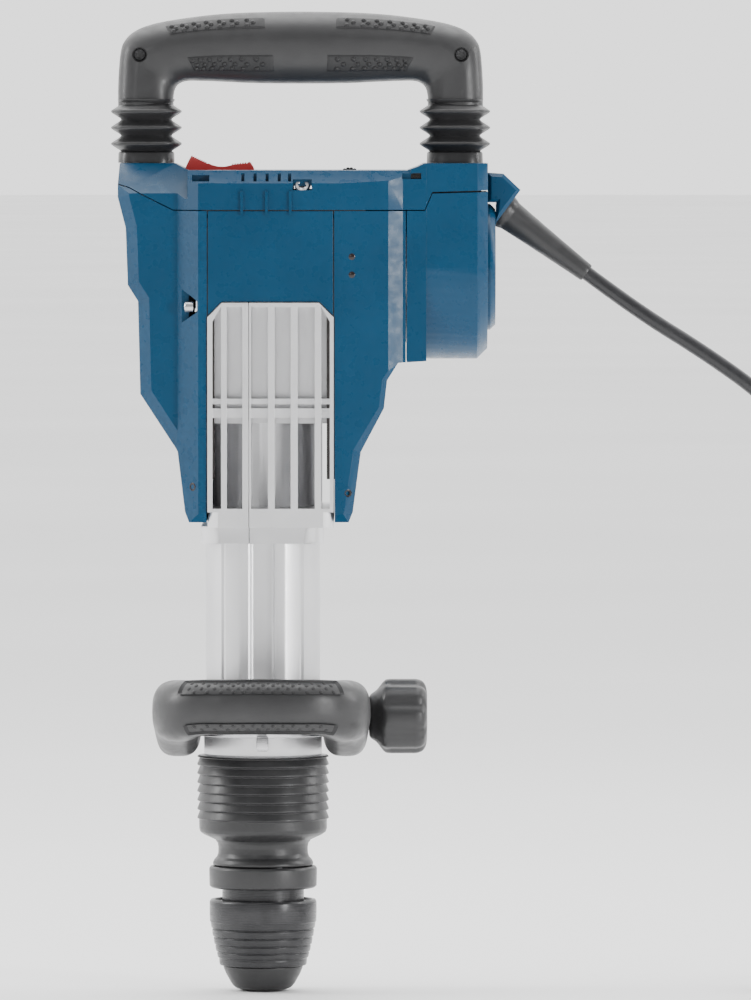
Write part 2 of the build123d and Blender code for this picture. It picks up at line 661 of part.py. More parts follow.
def motor_blank(inset):
    """Motor housing: round below, upright above, with a bevelled end."""
    radius = MOTOR_R - inset
    low, high = 70.0, MOTOR_X[1] - inset
    with BuildPart() as barrel:
        with BuildSketch(Plane((low, 0, 0), x_dir=(0, 1, 0), z_dir=(1, 0, 0))):
            with Locations((0, MOTOR_Z)):
                Circle(radius)
            with Locations((0, (MOTOR_Z + COLLAR_Z - inset) / 2)):
                Rectangle(2 * radius, COLLAR_Z - inset - MOTOR_Z)
        extrude(amount=high - low)
        end_arc = barrel.faces().sort_by(Axis.X)[-1].edges().filter_by(GeomType.CIRCLE)
        chamfer(end_arc, 6.0)
    return barrel.part


def body_blank(inset):
    """The whole outer form of the plastic housing, shrunk inwards by inset."""
    floor = SADDLE_Z - inset
    front = CENTRE_HALF_DEPTH - inset
    depth, drop = TOP_BEVEL
    saddle = (
        (-50.6, 500), (-50.6, COLLAR_Z + 0.01), (-43.0, floor), (84.0, floor), (90.0, floor + 2.2),
        (93.6, COLLAR_Z + 0.01), (93.6, 500),
    )
    with BuildPart() as blank:
        add(prism_blank(WING_OUTLINE, inset, WING_HALF_DEPTH, 6.6 - inset))
        add(column_blank(inset))
        add(motor_blank(inset))
        add(front_prism(saddle, -90, 90), mode=Mode.SUBTRACT)
        for side in (-1, 1):
            with BuildSketch(Plane.YZ.offset(-43.0)):
                Polygon(
                    (side * (front + 9), floor - drop * (1 + 9 / depth)), (side * (front - depth), floor),
                    (side * (front - depth), 495), (side * (front + 9), 495), align=None,
                )
            extrude(amount=129.0, mode=Mode.SUBTRACT)
        for side in (-1, 1):  # slopes in front of and behind the left collar
            with BuildSketch(Plane.YZ.offset(-90.0)):
                Polygon(
                    (side * (26 - inset), COLLAR_Z), (side * (52 - inset), 462.0), (side * 80, 462.0),
                    (side * 80, 500), (side * (26 - inset), 500), align=None,
                )
            extrude(amount=47.0, mode=Mode.SUBTRACT)
    return blank.part


def cover(shell, outline, name, *cuts):
    """One cover: the part of the shell in front of an (x, z) outline, less some cuts."""
    with BuildPart() as piece:
        add(shell)
        add(front_prism(outline, -95, 95), mode=Mode.INTERSECT)
        for cut in cuts:
            add(cut, mode=Mode.SUBTRACT)
    save(piece.part, name)


def grown(outline, amount):
    """The (x, z) outline grown by amount on every side, as a prism through the tool."""
    with BuildPart() as body:
        with BuildSketch(Plane.XZ.offset(-95)):
            Polygon(*outline, align=None)
            offset(amount=amount, kind=Kind.INTERSECTION)
        extrude(amount=190)
    return body.part


def make_covers():
    """Six covers of one housing shell, parted along the visible seams."""
    shell = body_blank(0.0) - body_blank(WALL)
    x_low, x_high = GRILLE_X
    half = GAP / 2
    seam = COVER_SEAM_Z
    octagon = (
        (x_low, 250.0), (x_high, 250.0), (x_high, GRILLE_TOP_Z - 8.4), (x_high - 8.4, GRILLE_TOP_Z),
        (x_low + 8.4, GRILLE_TOP_Z), (x_low, GRILLE_TOP_Z - 8.4),
    )
    grille_window = grown(octagon, GAP)
    wing_seam = ((-95, 471.2), (-83, 470.2), (-77, 468.4), (-69.6, 464.4), (-51.3, seam))
    motor_seam = ((94.0, seam), (98.4, 465.6), (135, 466.7))
    top = [(x, z + half) for x, z in (*wing_seam, *motor_seam)]
    below = [(x, z - half) for x, z in wing_seam]
    guide_holes = [
        block((x - 5.4, x + 5.4), (-5.4, 5.4), (470.0, 490.0)) for x in LEG_X
    ]
    rocker_slot = block((-46.6, -3.0), (-8.6, 8.6), (466.0, 490.0))
    dial_slot = block((42.4, 58.6), (-4.4, 4.4), (466.0, 490.0))
    recesses = []
    for side in (-1, 1):
        rim = sorted((side * 50.0, side * 63.0))
        recesses += [block((x - 0.9, x + 0.9), rim, (472.0, 476.8)) for x in VENT_X]
        recesses += [block((-40.4, -30.4), rim, (472.0, 475.6)), block((81.0, 92.0), rim, (473.4, 476.8))]
        recesses.append(block((17.8, 28.8), sorted((side * 54.6, side * 63.0)), (467.0, 473.2)))
    with BuildPart() as top_cover:
        add(shell)
        add(front_prism([*top, (150, 500), (-95, 500)], -95, 95), mode=Mode.INTERSECT)
        for x in RIB_X:  # raised ribs that reach a little over the seam
            for side in (-1, 1):
                add(block((x - 0.8, x + 0.8), sorted((side * 58.0, side * 61.4)), (seam + half, 466.4)))
                add(block((x - 0.8, x + 0.8), sorted((side * 60.1, side * 61.4)), (452.6, seam + 2)))
        for cut in (*guide_holes, rocker_slot, dial_slot, *recesses):
            add(cut, mode=Mode.SUBTRACT)
    save(top_cover.part, "top_cover")
    notch_outline = ((-47.0, 410.0), (-39.4, 404.6), (-37.4, 402.6), (-37.4, 396.6), (-47.0, 390.0))
    near_faces = block((-60, -30), (-80, -50.4), (380, 420)) + block((-60, -30), (50.4, 80), (380, 420))
    notch = front_prism(notch_outline, -80, 80) & near_faces
    left = [*below, (x_low - half, seam - half), (x_low - half, 250), (-95, 250)]
    cover(shell, left, "left_cover", grille_window, notch)
    panel = ((x_low + half, seam - half), (x_high - half, seam - half), (x_high - half, 300), (x_low + half, 300))
    cover(shell, panel, "service_panels", grille_window)
    right = (
        (x_high + half, seam - half), (MOTOR_X[0] - half, seam - half), (MOTOR_X[0] - half, 360),
        (MOTOR_X[0] - 6, 250), (x_high + half, 250),
    )
    cover(shell, right, "right_cover", grille_window)
    motor = (
        (MOTOR_X[0] + half, seam - half), (94.2, seam - half), (98.6, 465.0), (140, 466.1), (140, 360),
        (MOTOR_X[0] + half, 360),
    )
    cap_hole = rod_x(MOTOR_Z, END_CAP_R + 0.3, 120, 140)
    cover(shell, motor, "motor_housing", cap_hole)
    with BuildPart() as motor_end_cap:
        add(rod_x(MOTOR_Z, END_CAP_R, MOTOR_X[1] - WALL, 135.3))
        chamfer(motor_end_cap.faces().sort_by(Axis.X)[-1].edges(), 3.0)
        add(rod_x(MOTOR_Z, 14.0, 121.6, 128.0))
        add(rod_x(MOTOR_Z, 11.0, 110.0, 128.6), mode=Mode.SUBTRACT)
    save(motor_end_cap.part, "motor_end_cap")


FRONT_SCREW_X = 30.9 * math.sqrt(0.5)  # x and y of a front housing screw, four on a 61.8 mm circle


def make_housing_screws():
    """All screws of the fixed housing: front bearing housing, covers and motor cap."""
    screws = [
        screw_z(side_x * FRONT_SCREW_X, side_y * FRONT_SCREW_X, 101.0, 106.0, 142.0, 2.4, 2.0, 1.2)
        for side_x in (-1, 1)
        for side_y in (-1, 1)
    ]
    for side in (-1, 1):
        screws.append(screw_along((-44.6, side * 54.0, 399.6), (1, 0, 0), 4.6, 3.1, 2.4, 1.8))
    save(gathered(*screws), "housing_screws")


# ---- electrics in the housing ---------------------------------------------------------------------------
ROCKER_PIVOT = (-24.0, 473.0)


def make_rocker_switch():
    """Two-sided rocker, at rest with its left end up; its pivot lies across the tool."""
    pivot_x, pivot_z = ROCKER_PIVOT
    outline = (
        (-45.0, 477.4), (-42.4, 485.6), (-41.0, 486.6), (-32.0, 482.6), (-24.0, 480.4), (-17.6, 481.4),
        (-9.0, 483.0), (-7.4, 482.8), (-4.6, 478.4), (-9.0, 471.0), (-20.0, 468.4), (-28.0, 468.4),
        (-40.0, 472.0),
    )
    with BuildPart() as rocker_switch:
        add(front_prism(outline, -8.2, 8.2))
        with BuildSketch(Plane.XZ.offset(-11.0)):
            with Locations(ROCKER_PIVOT):
                Circle(2.0)
        extrude(amount=22.0)
    save(rocker_switch.part, "rocker_switch")
    save(block((-40.0, -8.0), (-15.0, 15.0), (448.5, 464.0)), "switch_module")


def make_speed_dial():
    """Thumbwheel of the speed and impact control, turning about a cross axis."""
    with BuildPart() as speed_dial:
        with BuildSketch(Plane.XZ.offset(-3.6)):
            with Locations((50.5, 472.6)):
                Circle(7.4)
        extrude(amount=7.2)
        with BuildSketch(Plane.XZ.offset(-3.6)):
            with Locations((50.5, 472.6)):
                with PolarLocations(7.4, 20):
                    Circle(0.5)
        extrude(amount=7.2, mode=Mode.SUBTRACT)
    save(speed_dial.part, "speed_dial")


def make_electronics():
    with BuildPart() as electronics_module:
        add(block((-64.0, -49.0), (-30.0, 30.0), (354.0, 436.0)))
        for i in range(7):  # cooling fins
            add(block((-49.0, -40.0), (-25.0 + 8 * i, -23.0 + 8 * i), (358.0, 432.0)))
    save(electronics_module.part, "electronics_module")


# ---- main handle -----------------------------------------------------------------------------------------
BELLOWS_Z = (COLLAR_Z + 0.3, 514.6)


def make_handle():
    """Bow handle in a front and a rear half shell."""
    outer = (
        (-84.6, 515.0), (-84.6, 540.0), (-83.0, 548.0), (-76.0, 559.0), (-62.0, 567.0), (-42.0, 569.4),
        (-2.0, TOOL_HEIGHT), (44.0, TOOL_HEIGHT), (86.0, 569.4), (106.0, 567.0), (120.0, 559.0),
        (127.0, 548.0), (128.6, 540.0), (128.6, 515.0),
    )
    inner = (
        (94.0, 515.0), (94.0, 531.0), (88.0, 540.0), (78.0, 541.0), (44.0, 529.6), (0.0, 529.6),
        (-34.0, 541.0), (-44.0, 540.0), (-52.0, 531.0), (-52.0, 515.0),
    )
    with BuildPart() as bow:
        add(prism_blank((*outer, *inner), 0.0, HANDLE_HALF_DEPTH, 5.0))
        for x in LEG_X:  # seats of the guide posts
            add(block((x - 4.9, x + 4.9), (-4.9, 4.9), (500, 534)), mode=Mode.SUBTRACT)
        for x in (-72.0, 116.5):  # screw recesses
            for side in (-1, 1):
                with BuildSketch(Plane((x, side * HANDLE_HALF_DEPTH, 546.0), z_dir=(0, side, 0))):
                    Circle(4.2)
                extrude(amount=-5.0, mode=Mode.SUBTRACT)
    save(bow.part & block((-95, 140), (-30, -0.15), (500, 580)), "handle_front_shell")
    save(bow.part & block((-95, 140), (0.15, 30), (500, 580)), "handle_rear_shell")
    screws = []
    for x in (-72.0, 116.5):
        for side in (-1, 1):
            head = (x, side * (HANDLE_HALF_DEPTH - 2.4), 546.0)
            screws.append(screw_along(head, (0, -side, 0), 2.4, 3.6, 0.2, 1.8))
    save(gathered(*screws), "handle_screws")


def make_handle_suspension():
    """Rubber bellows, guide posts and springs under both legs."""
    width, depth = LEG_SIZE
    folds = 3
    bellows = []
    posts = []
    springs = []
    foot = BELLOWS_Z[0]
    for x in LEG_X:
        fold_low = foot + 6.6
        pitch = (BELLOWS_Z[1] - 1.0 - fold_low) / folds
        levels = [(foot, 0.0), (foot + 4.6, 0.0), (fold_low, -1.6)]
        for i in range(folds):
            base = fold_low + i * pitch
            levels += [(base + pitch * 0.5, 4.0), (base + pitch, -1.6 if i < folds - 1 else -0.4)]
        levels.append((BELLOWS_Z[1], -0.4))
        with BuildPart() as sleeve:
            for (low, low_grow), (high, high_grow) in zip(levels[:-1], levels[1:]):
                for z, grow in ((low, low_grow), (high, high_grow)):
                    with BuildSketch(Plane((x, 0, z))):
                        RectangleRounded(width + 2 * grow, depth + 2 * grow, 7.0 + grow)
                loft()
            with BuildSketch(Plane((x, 0, foot))):
                RectangleRounded(width - 6.4, depth - 6.4, 4.0)
            extrude(amount=40.0, mode=Mode.SUBTRACT)
        bellows.append(sleeve.part)
        posts.append(block((x - 4.8, x + 4.8), (-4.8, 4.8), (456.0, 533.6)))
        springs.append(coil_spring(9.4, 1.1, foot + 0.1, 514.9, 5.0, centre=(x, 0.0)))
    save(gathered(*bellows), "handle_bellows")
    save(gathered(*posts), "handle_guide_posts")
    save(gathered(*springs), "handle_springs")


# ---- side handle -----------------------------------------------------------------------------------------
AUX_BOLT = (-47.5, 162.5)  # y and z of the clamp bolt
KNOB_X = (64.6, 97.0)
KNOB_R = 21.6
LOOP_Y = (-140.0, 30.0)
LOOP_HALF_WIDTH = 61.5
ARM_Z = (139.0, 180.0)
GRIP_Z = (156.5, 188.0)  # the grip stands a little higher than the arms
GRIP_GAP_Y = (-108.0, -56.0)
GRIP_GAP_HALF_WIDTH = 33.0


def make_aux_handle():
    """Loop handle held on the barrel by a band; the knob's bolt draws its two arms together."""
    with BuildPart() as loop:
        with BuildSketch(Plane.XY.offset(ARM_Z[0])):
            with Locations((0, sum(LOOP_Y) / 2)):
                RectangleRounded(2 * LOOP_HALF_WIDTH, LOOP_Y[1] - LOOP_Y[0], 24.0)
            with Locations((0, sum(GRIP_GAP_Y) / 2)):
                RectangleRounded(
                    2 * GRIP_GAP_HALF_WIDTH, GRIP_GAP_Y[1] - GRIP_GAP_Y[0], 10.0, mode=Mode.SUBTRACT,
                )
        extrude(amount=GRIP_Z[1] - ARM_Z[0])
        fillet(loop.faces().filter_by(Axis.Z).edges(), 9.0)
        add(block((-70, 70), (-145, GRIP_GAP_Y[0]), (130, GRIP_Z[0])), mode=Mode.SUBTRACT)
        add(block((-70, 70), (-100, 40), (ARM_Z[1], 200)), mode=Mode.SUBTRACT)
        add(block((-34, 34), (GRIP_GAP_Y[1], 40), (100, 200)), mode=Mode.SUBTRACT)
        with BuildSketch(Plane.XY.offset(100.0)):
            Circle(38.7)
        extrude(amount=100.0, mode=Mode.SUBTRACT)
        add(rod_x(AUX_BOLT[1], 4.08, -54.0, 90.0, y=AUX_BOLT[0]), mode=Mode.SUBTRACT)
    save(loop.part, "aux_handle")
    band = tube_z(38.5, SEAT_R + 0.06, 149.0, 177.0)
    save(band, "clamp_band")
    with BuildPart() as clamp_knob:
        add(rod_x(AUX_BOLT[1], 4.0, -53.5, 66.0, y=AUX_BOLT[0]))
        low, high = KNOB_X
        profile = (
            (low, 0), (high, 0), (high, 12.0), (high - 2.4, 17.5), (high - 7.0, KNOB_R), (low + 13.0, KNOB_R),
            (low + 8.0, 14.0), (low, 12.0),
        )
        add(turned_across(AUX_BOLT[1], *profile, y=AUX_BOLT[0]))
        for i in range(8):  # finger flutes
            angle = math.radians(45 * i + 22.5)
            flute_y = AUX_BOLT[0] + 28.6 * math.cos(angle)
            flute_z = AUX_BOLT[1] + 28.6 * math.sin(angle)
            add(rod_x(flute_z, 9.0, low + 11.0, high + 1, y=flute_y), mode=Mode.SUBTRACT)
    save(clamp_knob.part, "clamp_knob")


# ---- cord ------------------------------------------------------------------------------------------------
COIL_CENTRE = (374.0, 0.0)
COIL_INNER_R = 33.0
COIL_OUTER_R = 70.2
COIL_HEIGHT = 25.8
BOOT_END = BOOT_START + BOOT_DIRECTION * BOOT_LENGTH
LEAD_ROUTE = (
    BOOT_END, BOOT_START + BOOT_DIRECTION * (BOOT_LENGTH + 36.0), (258.0, 0, 371.6), (295.0, 0, 345.0),
    (324.0, 1, 311.0), (343.0, 6, 270.0), (352.0, 14, 226.0), (353.0, 25, 182.0), (349.0, 39, 139.0),
    (342.0, 57, 98.0), (336.0, 82, 61.0), (337.0, 110, 33.0), (350.0, 136, 14.0), (376.0, 152, 5.0),
    (408.0, 150, CORD_R), (434.0, 131, CORD_R), (448.0, 102, CORD_R), (450.0, 70, CORD_R),
    (446.5, 40, CORD_R), (440.5, 12, CORD_R),
)
TAIL_Z = COIL_HEIGHT + CORD_R
TAIL_ROUTE = (
    (380.0, 41.0, TAIL_Z - 2.0), (403.8, 34.9, TAIL_Z - 0.5), (421.6, 18.0, TAIL_Z + 0.8),
    (428.9, -5.4, TAIL_Z + 1.8), (424.0, -29.5, TAIL_Z + 2.8), (408.1, -48.1, TAIL_Z + 3.8),
    (385.1, -56.7, TAIL_Z + 4.6),
)
PLUG_THICKNESS = 17.0


def cord_tube(route, name):
    """A round cord of straight runs and arcs as large as the runs allow."""
    points = [Vector(*p) if not isinstance(p, Vector) else p for p in route]
    radii = []
    for before, here, after in zip(points[:-2], points[1:-1], points[2:]):
        run_in, run_out = here - before, after - here
        turn = math.radians(run_in.get_angle(run_out))
        radii.append(0.45 * min(run_in.length, run_out.length) / math.tan(turn / 2))
    print(name, "radii", [round(r) for r in radii])
    with BuildPart() as tube:
        with BuildLine() as path:
            FilletPolyline(*points, radius=radii)
        with BuildSketch(Plane(points[0], z_dir=points[1] - points[0])):
            Circle(CORD_R)
        sweep()
    length = path.wire().length
    ratio = tube.part.volume / (math.pi * CORD_R**2 * length)
    print(name, "length", round(length), "volume ratio", round(ratio, 4))
    save(tube.part, name)
    return length


def make_cord():
    face = Plane(BOOT_START, z_dir=BOOT_DIRECTION)
    slope_up = Vector(-BOOT_DIRECTION.Z, 0, BOOT_DIRECTION.X)
    lower, upper = BOOT_START - slope_up * 9.9, BOOT_START + slope_up * 15.6
    guard_outline = (
        (131.0, 476.8), (140.0, 476.2), (upper.X, upper.Z), (lower.X, lower.Z), (135.9, 459.6),
        (131.0, 459.6),
    )
    with BuildPart() as cord_guard:
        add(front_prism(guard_outline, -14.0, 14.0))
        chamfer(cord_guard.faces().filter_by(Axis.Y).edges(), 2.0)
        add(rod_x(MOTOR_Z, END_CAP_R + 0.4, 120, 135.7), mode=Mode.SUBTRACT)
    save(cord_guard.part, "cord_guard")
    with BuildPart() as cord_boot:
        for distance, radius in ((0.0, 10.2), (14.0, 8.6), (BOOT_LENGTH, 5.6)):
            with BuildSketch(face.offset(distance)):
                Circle(radius)
        loft(ruled=True)
        add(rod_x(MOTOR_Z, END_CAP_R + 0.4, 120, 135.7), mode=Mode.SUBTRACT)
    save(cord_boot.part, "cord_boot")
    lead = cord_tube(LEAD_ROUTE, "cord_lead")
    tail = cord_tube(TAIL_ROUTE, "cord_tail")
    centre = (*COIL_CENTRE, 0)
    with BuildPart(Plane(centre)) as cord_coil:
        with BuildSketch(Plane(centre)):
            Circle(COIL_OUTER_R)
            Circle(COIL_INNER_R, mode=Mode.SUBTRACT)
        extrude(amount=COIL_HEIGHT)
    save(cord_coil.part, "cord_coil")
    with BuildPart() as cord_tie:
        x_in = COIL_CENTRE[0] - COIL_INNER_R + 1.8
        x_out = COIL_CENTRE[0] - COIL_OUTER_R - 0.4
        add(block((x_out - 1.4, x_in + 1.4), (-9.0, 9.0), (0.0, COIL_HEIGHT + 1.8)))
        add(block((x_out, x_in), (-10.0, 10.0), (-1.0, COIL_HEIGHT + 0.4)), mode=Mode.SUBTRACT)
    save(cord_tie.part, "cord_tie")
    end = Vector(*TAIL_ROUTE[-1])
    heading = (end - Vector(*TAIL_ROUTE[-2])).normalized()
    plug_frame = Plane(end, x_dir=Vector(0, 0, 1).cross(heading), z_dir=heading)
    with BuildPart() as plug:
        with BuildSketch(plug_frame):
            Circle(6.4)
        with BuildSketch(plug_frame.offset(18.0)):
            RectangleRounded(20.0, PLUG_THICKNESS - 4, 6.0)
        loft()
        with BuildSketch(plug_frame.offset(18.0)):
            RectangleRounded(20.0, PLUG_THICKNESS - 4, 6.0)
        with BuildSketch(plug_frame.offset(28.0)):
            RectangleRounded(36.0, PLUG_THICKNESS - 1, 6.0)
        loft()
        with BuildSketch(plug_frame.offset(28.0)):
            RectangleRounded(36.0, PLUG_THICKNESS - 1, 6.0)
        extrude(amount=12.0)
        with BuildSketch(plug_frame.offset(40.0)):
            with Locations((9.5, 0), (-9.5, 0)):
                Circle(2.4)
        extrude(amount=19.0)
    save(plug.part, "plug")
    print("coil needs", round(CORD_LENGTH - lead - tail), "mm of cord")


make_dust_cap()
make_tool_holder()
make_locking_rollers()
make_locking_sleeve()
make_adjusting_ring()
make_front_boot()
make_front_housing()
make_barrel_housing()
make_hammer_tube()
make_striker()
make_impact_bolt()
make_piston()
make_connecting_rod()
make_gears()
make_armature()
make_cooling_fan()
make_stator()
make_bearings()
make_brushes()
make_gear_housing()
make_bearing_flange()
make_covers()
make_housing_screws()
make_rocker_switch()
make_speed_dial()
make_electronics()
make_handle()
make_handle_suspension()
make_aux_handle()
make_cord()
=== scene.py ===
"""Looks of the electric demolition hammer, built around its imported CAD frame.

Lengths are given in millimetres and turned into metres by MM."""

import json
import math

import bmesh
import bpy
from mathutils import Matrix, Vector


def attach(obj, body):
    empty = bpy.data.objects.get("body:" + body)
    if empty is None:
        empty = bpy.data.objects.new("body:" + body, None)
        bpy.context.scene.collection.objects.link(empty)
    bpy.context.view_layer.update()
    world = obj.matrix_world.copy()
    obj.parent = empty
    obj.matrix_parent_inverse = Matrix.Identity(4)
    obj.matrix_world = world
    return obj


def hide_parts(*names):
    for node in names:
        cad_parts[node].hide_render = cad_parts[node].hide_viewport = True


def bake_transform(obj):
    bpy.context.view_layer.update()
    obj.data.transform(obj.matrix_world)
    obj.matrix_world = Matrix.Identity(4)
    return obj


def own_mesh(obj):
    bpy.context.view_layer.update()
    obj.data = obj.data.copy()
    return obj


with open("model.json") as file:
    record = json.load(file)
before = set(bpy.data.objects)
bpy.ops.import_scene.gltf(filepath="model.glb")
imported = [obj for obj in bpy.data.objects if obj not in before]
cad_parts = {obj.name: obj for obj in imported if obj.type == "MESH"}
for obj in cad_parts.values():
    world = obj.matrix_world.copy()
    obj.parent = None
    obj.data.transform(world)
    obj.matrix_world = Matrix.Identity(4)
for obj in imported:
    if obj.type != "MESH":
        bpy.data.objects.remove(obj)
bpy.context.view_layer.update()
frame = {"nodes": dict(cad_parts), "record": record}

MM = 0.001
NODES = frame["nodes"]
SKY_FRONT = 0.30  # strengths of the sky in front of the tool, behind it, overhead and at its right
SKY_BACK = 1.9
SKY_ZENITH = 1.9
SKY_RIGHT = 0.45
FLOOR_RADIUS = 60.0  # metres, far enough for a level horizon
FLOOR_POINTS = 96


# ---- camera, lights and floor --------------------------------------------------------------------------
def make_camera():
    """A long lens a little above the tool's middle."""
    target = Vector((65.6, 0, 286.0)) * MM
    place = Vector((65.6, -6474.0, 514.0)) * MM
    data = bpy.data.cameras.new("camera")
    data.lens = 400
    data.sensor_width = 36
    camera = bpy.data.objects.new("camera", data)
    camera.location = place
    camera.rotation_euler = (target - place).to_track_quat("-Z", "Y").to_euler()
    bpy.context.collection.objects.link(camera)
    bpy.context.scene.camera = camera


def area_light(name, place, target, size, power):
    data = bpy.data.lights.new(name, "AREA")
    data.shape = "RECTANGLE"
    data.size, data.size_y = size
    data.energy = power
    light = bpy.data.objects.new(name, data)
    light.location = place
    light.rotation_euler = (Vector(target) - Vector(place)).to_track_quat("-Z", "Y").to_euler()
    bpy.context.collection.objects.link(light)


def sky_range(tree, source, span, levels):
    """The sky's brightness between two levels as source crosses span."""
    made = node(tree, "ShaderNodeMapRange", interpolation_type="SMOOTHSTEP")
    tree.links.new(source, made.inputs["Value"])
    for name, value in zip(("From Min", "From Max", "To Min", "To Max"), (*span, *levels)):
        made.inputs[name].default_value = value
    return made.outputs["Result"]


def make_studio():
    """Soft boxes at both sides, whose light the slanted faces catch, and a sky that is dimmer in front."""
    middle = (0.0, 0.0, 0.30)
    area_light("left_strip", (-2.6, 0.12, 1.35), middle, (0.5, 1.6), 40)
    area_light("right_strip", (2.15, -1.90, 0.62), middle, (0.20, 0.9), 42)
    area_light("right_rim", (2.6, 0.6, 1.35), middle, (0.5, 1.6), 26)
    area_light("top_softbox", (0.0, 0.3, 2.4), middle, (2.2, 1.6), 40)
    area_light("front_fill", (-1.3, -3.2, 1.5), middle, (0.7, 1.1), 10)
    world = bpy.data.worlds.new("studio")
    bpy.context.scene.world = world
    world.use_nodes = True
    tree = world.node_tree
    direction = node(tree, "ShaderNodeTexCoord")
    split = node(tree, "ShaderNodeSeparateXYZ")
    tree.links.new(direction.outputs["Generated"], split.inputs["Vector"])
    level = sky_range(tree, split.outputs["Y"], (-0.9, 0.9), (SKY_FRONT, SKY_BACK))
    height = sky_range(tree, split.outputs["Z"], (0.02, 0.8), (1.0, SKY_ZENITH))
    across = sky_range(tree, split.outputs["X"], (0.35, 0.95), (1.0, SKY_RIGHT))
    product = level
    for factor in (height, across):
        both = node(tree, "ShaderNodeMath", operation="MULTIPLY")
        tree.links.new(product, both.inputs[0])
        tree.links.new(factor, both.inputs[1])
        product = both.outputs[0]
    background = tree.nodes["Background"]
    background.inputs["Color"].default_value = (1.0, 1.0, 1.0, 1.0)
    tree.links.new(product, background.inputs["Strength"])
    mesh = bpy.data.meshes.new("floor")
    angles = [i * math.tau / FLOOR_POINTS for i in range(FLOOR_POINTS)]
    rim = [Vector((math.cos(a), math.sin(a), 0)) * FLOOR_RADIUS for a in angles]
    mesh.from_pydata(rim, [], [list(range(FLOOR_POINTS))])
    floor = bpy.data.objects.new("floor", mesh)
    floor.location.z = -0.0005
    bpy.context.collection.objects.link(floor)
    mesh.materials.append(floor_material())


# ---- materials -----------------------------------------------------------------------------------------
def shader(name, roughness, metallic=0.0, specular=0.5):
    material = bpy.data.materials.new(name)
    material.use_nodes = True
    tree = material.node_tree
    surface = tree.nodes["Principled BSDF"]
    surface.inputs["Roughness"].default_value = roughness
    surface.inputs["Metallic"].default_value = metallic
    surface.inputs["Specular IOR Level"].default_value = specular
    return material, tree, surface


def node(tree, kind, **values):
    made = tree.nodes.new(kind)
    for key, value in values.items():
        if hasattr(made, key):
            setattr(made, key, value)
        else:
            made.inputs[key.replace("_", " ")].default_value = value
    return made


def object_noise(tree, scale, detail=4.0, stretch=(1.0, 1.0, 1.0)):
    """Noise fixed to the object, with its scale in waves per metre."""
    place = node(tree, "ShaderNodeTexCoord")
    mapping = node(tree, "ShaderNodeMapping")
    mapping.inputs["Scale"].default_value = stretch
    tree.links.new(place.outputs["Object"], mapping.inputs["Vector"])
    made = node(tree, "ShaderNodeTexNoise", Scale=scale, Detail=detail)
    tree.links.new(mapping.outputs["Vector"], made.inputs["Vector"])
    return made.outputs["Fac"]


def ramp(tree, source, low, high, at=(0.35, 0.65)):
    """A value or colour that runs from low to high as source crosses at."""
    made = tree.nodes.new("ShaderNodeValToRGB")
    first, last = made.color_ramp.elements
    first.position, last.position = at
    first.color = (*low, 1) if isinstance(low, tuple) else (low, low, low, 1)
    last.color = (*high, 1) if isinstance(high, tuple) else (high, high, high, 1)
    tree.links.new(source, made.inputs["Fac"])
    return made.outputs["Color"]


def add_bump(tree, surface, layers):
    """Bump from (height source, distance in metres, strength) layers, one on top of another."""
    last = None
    for height, distance, strength in layers:
        made = node(tree, "ShaderNodeBump", Distance=distance, Strength=strength)
        tree.links.new(height, made.inputs["Height"])
        if last is not None:
            tree.links.new(last, made.inputs["Normal"])
        last = made.outputs["Normal"]
    tree.links.new(last, surface.inputs["Normal"])


def edge_wear(tree, base, worn, amount):
    """Mixes worn into base along convex edges, broken up by noise."""
    geometry = node(tree, "ShaderNodeNewGeometry")
    edge = ramp(tree, geometry.outputs["Pointiness"], 0.0, 1.0, at=(0.575, 0.66))
    breaks = ramp(tree, object_noise(tree, 420, 6), 0.0, amount, at=(0.42, 0.66))
    both = node(tree, "ShaderNodeMath", operation="MULTIPLY")
    tree.links.new(edge, both.inputs[0])
    tree.links.new(breaks, both.inputs[1])
    mix = node(tree, "ShaderNodeMix", data_type="RGBA")
    mix.inputs["B"].default_value = (*worn, 1)
    tree.links.new(both.outputs[0], mix.inputs["Factor"])
    tree.links.new(base, mix.inputs["A"])
    return mix.outputs["Result"]


def moulded_plastic(name, dark, light, worn, roughness, grain, grain_depth, specular=0.5):
    """Injection-moulded plastic: slow colour drift, fine eroded grain, and scuffed edges."""
    material, tree, surface = shader(name, roughness, specular=specular)
    drift = ramp(tree, object_noise(tree, 26, 3), dark, light)
    tree.links.new(edge_wear(tree, drift, worn, 0.35), surface.inputs["Base Color"])
    gloss = ramp(tree, object_noise(tree, 180, 5), roughness - 0.05, roughness + 0.06)
    tree.links.new(gloss, surface.inputs["Roughness"])
    add_bump(tree, surface, [
        (object_noise(tree, grain, 2), grain_depth, 0.55),
        (object_noise(tree, grain * 0.18, 3), grain_depth * 0.5, 0.12),
    ])
    return material


def cast_metal(name, dark, light, roughness, grain):
    """Blasted die casting with faint flow marks."""
    material, tree, surface = shader(name, roughness, metallic=0.80)
    drift = ramp(tree, object_noise(tree, 24, 3), dark, light)
    tree.links.new(edge_wear(tree, drift, (0.80, 0.80, 0.82), 0.3), surface.inputs["Base Color"])
    gloss = ramp(tree, object_noise(tree, 120, 3), roughness - 0.025, roughness + 0.03)
    tree.links.new(gloss, surface.inputs["Roughness"])
    add_bump(tree, surface, [
        (object_noise(tree, grain, 3), 0.00003, 0.4),
        (object_noise(tree, 60, 2, (1, 1, 0.25)), 0.00004, 0.12),
    ])
    return material


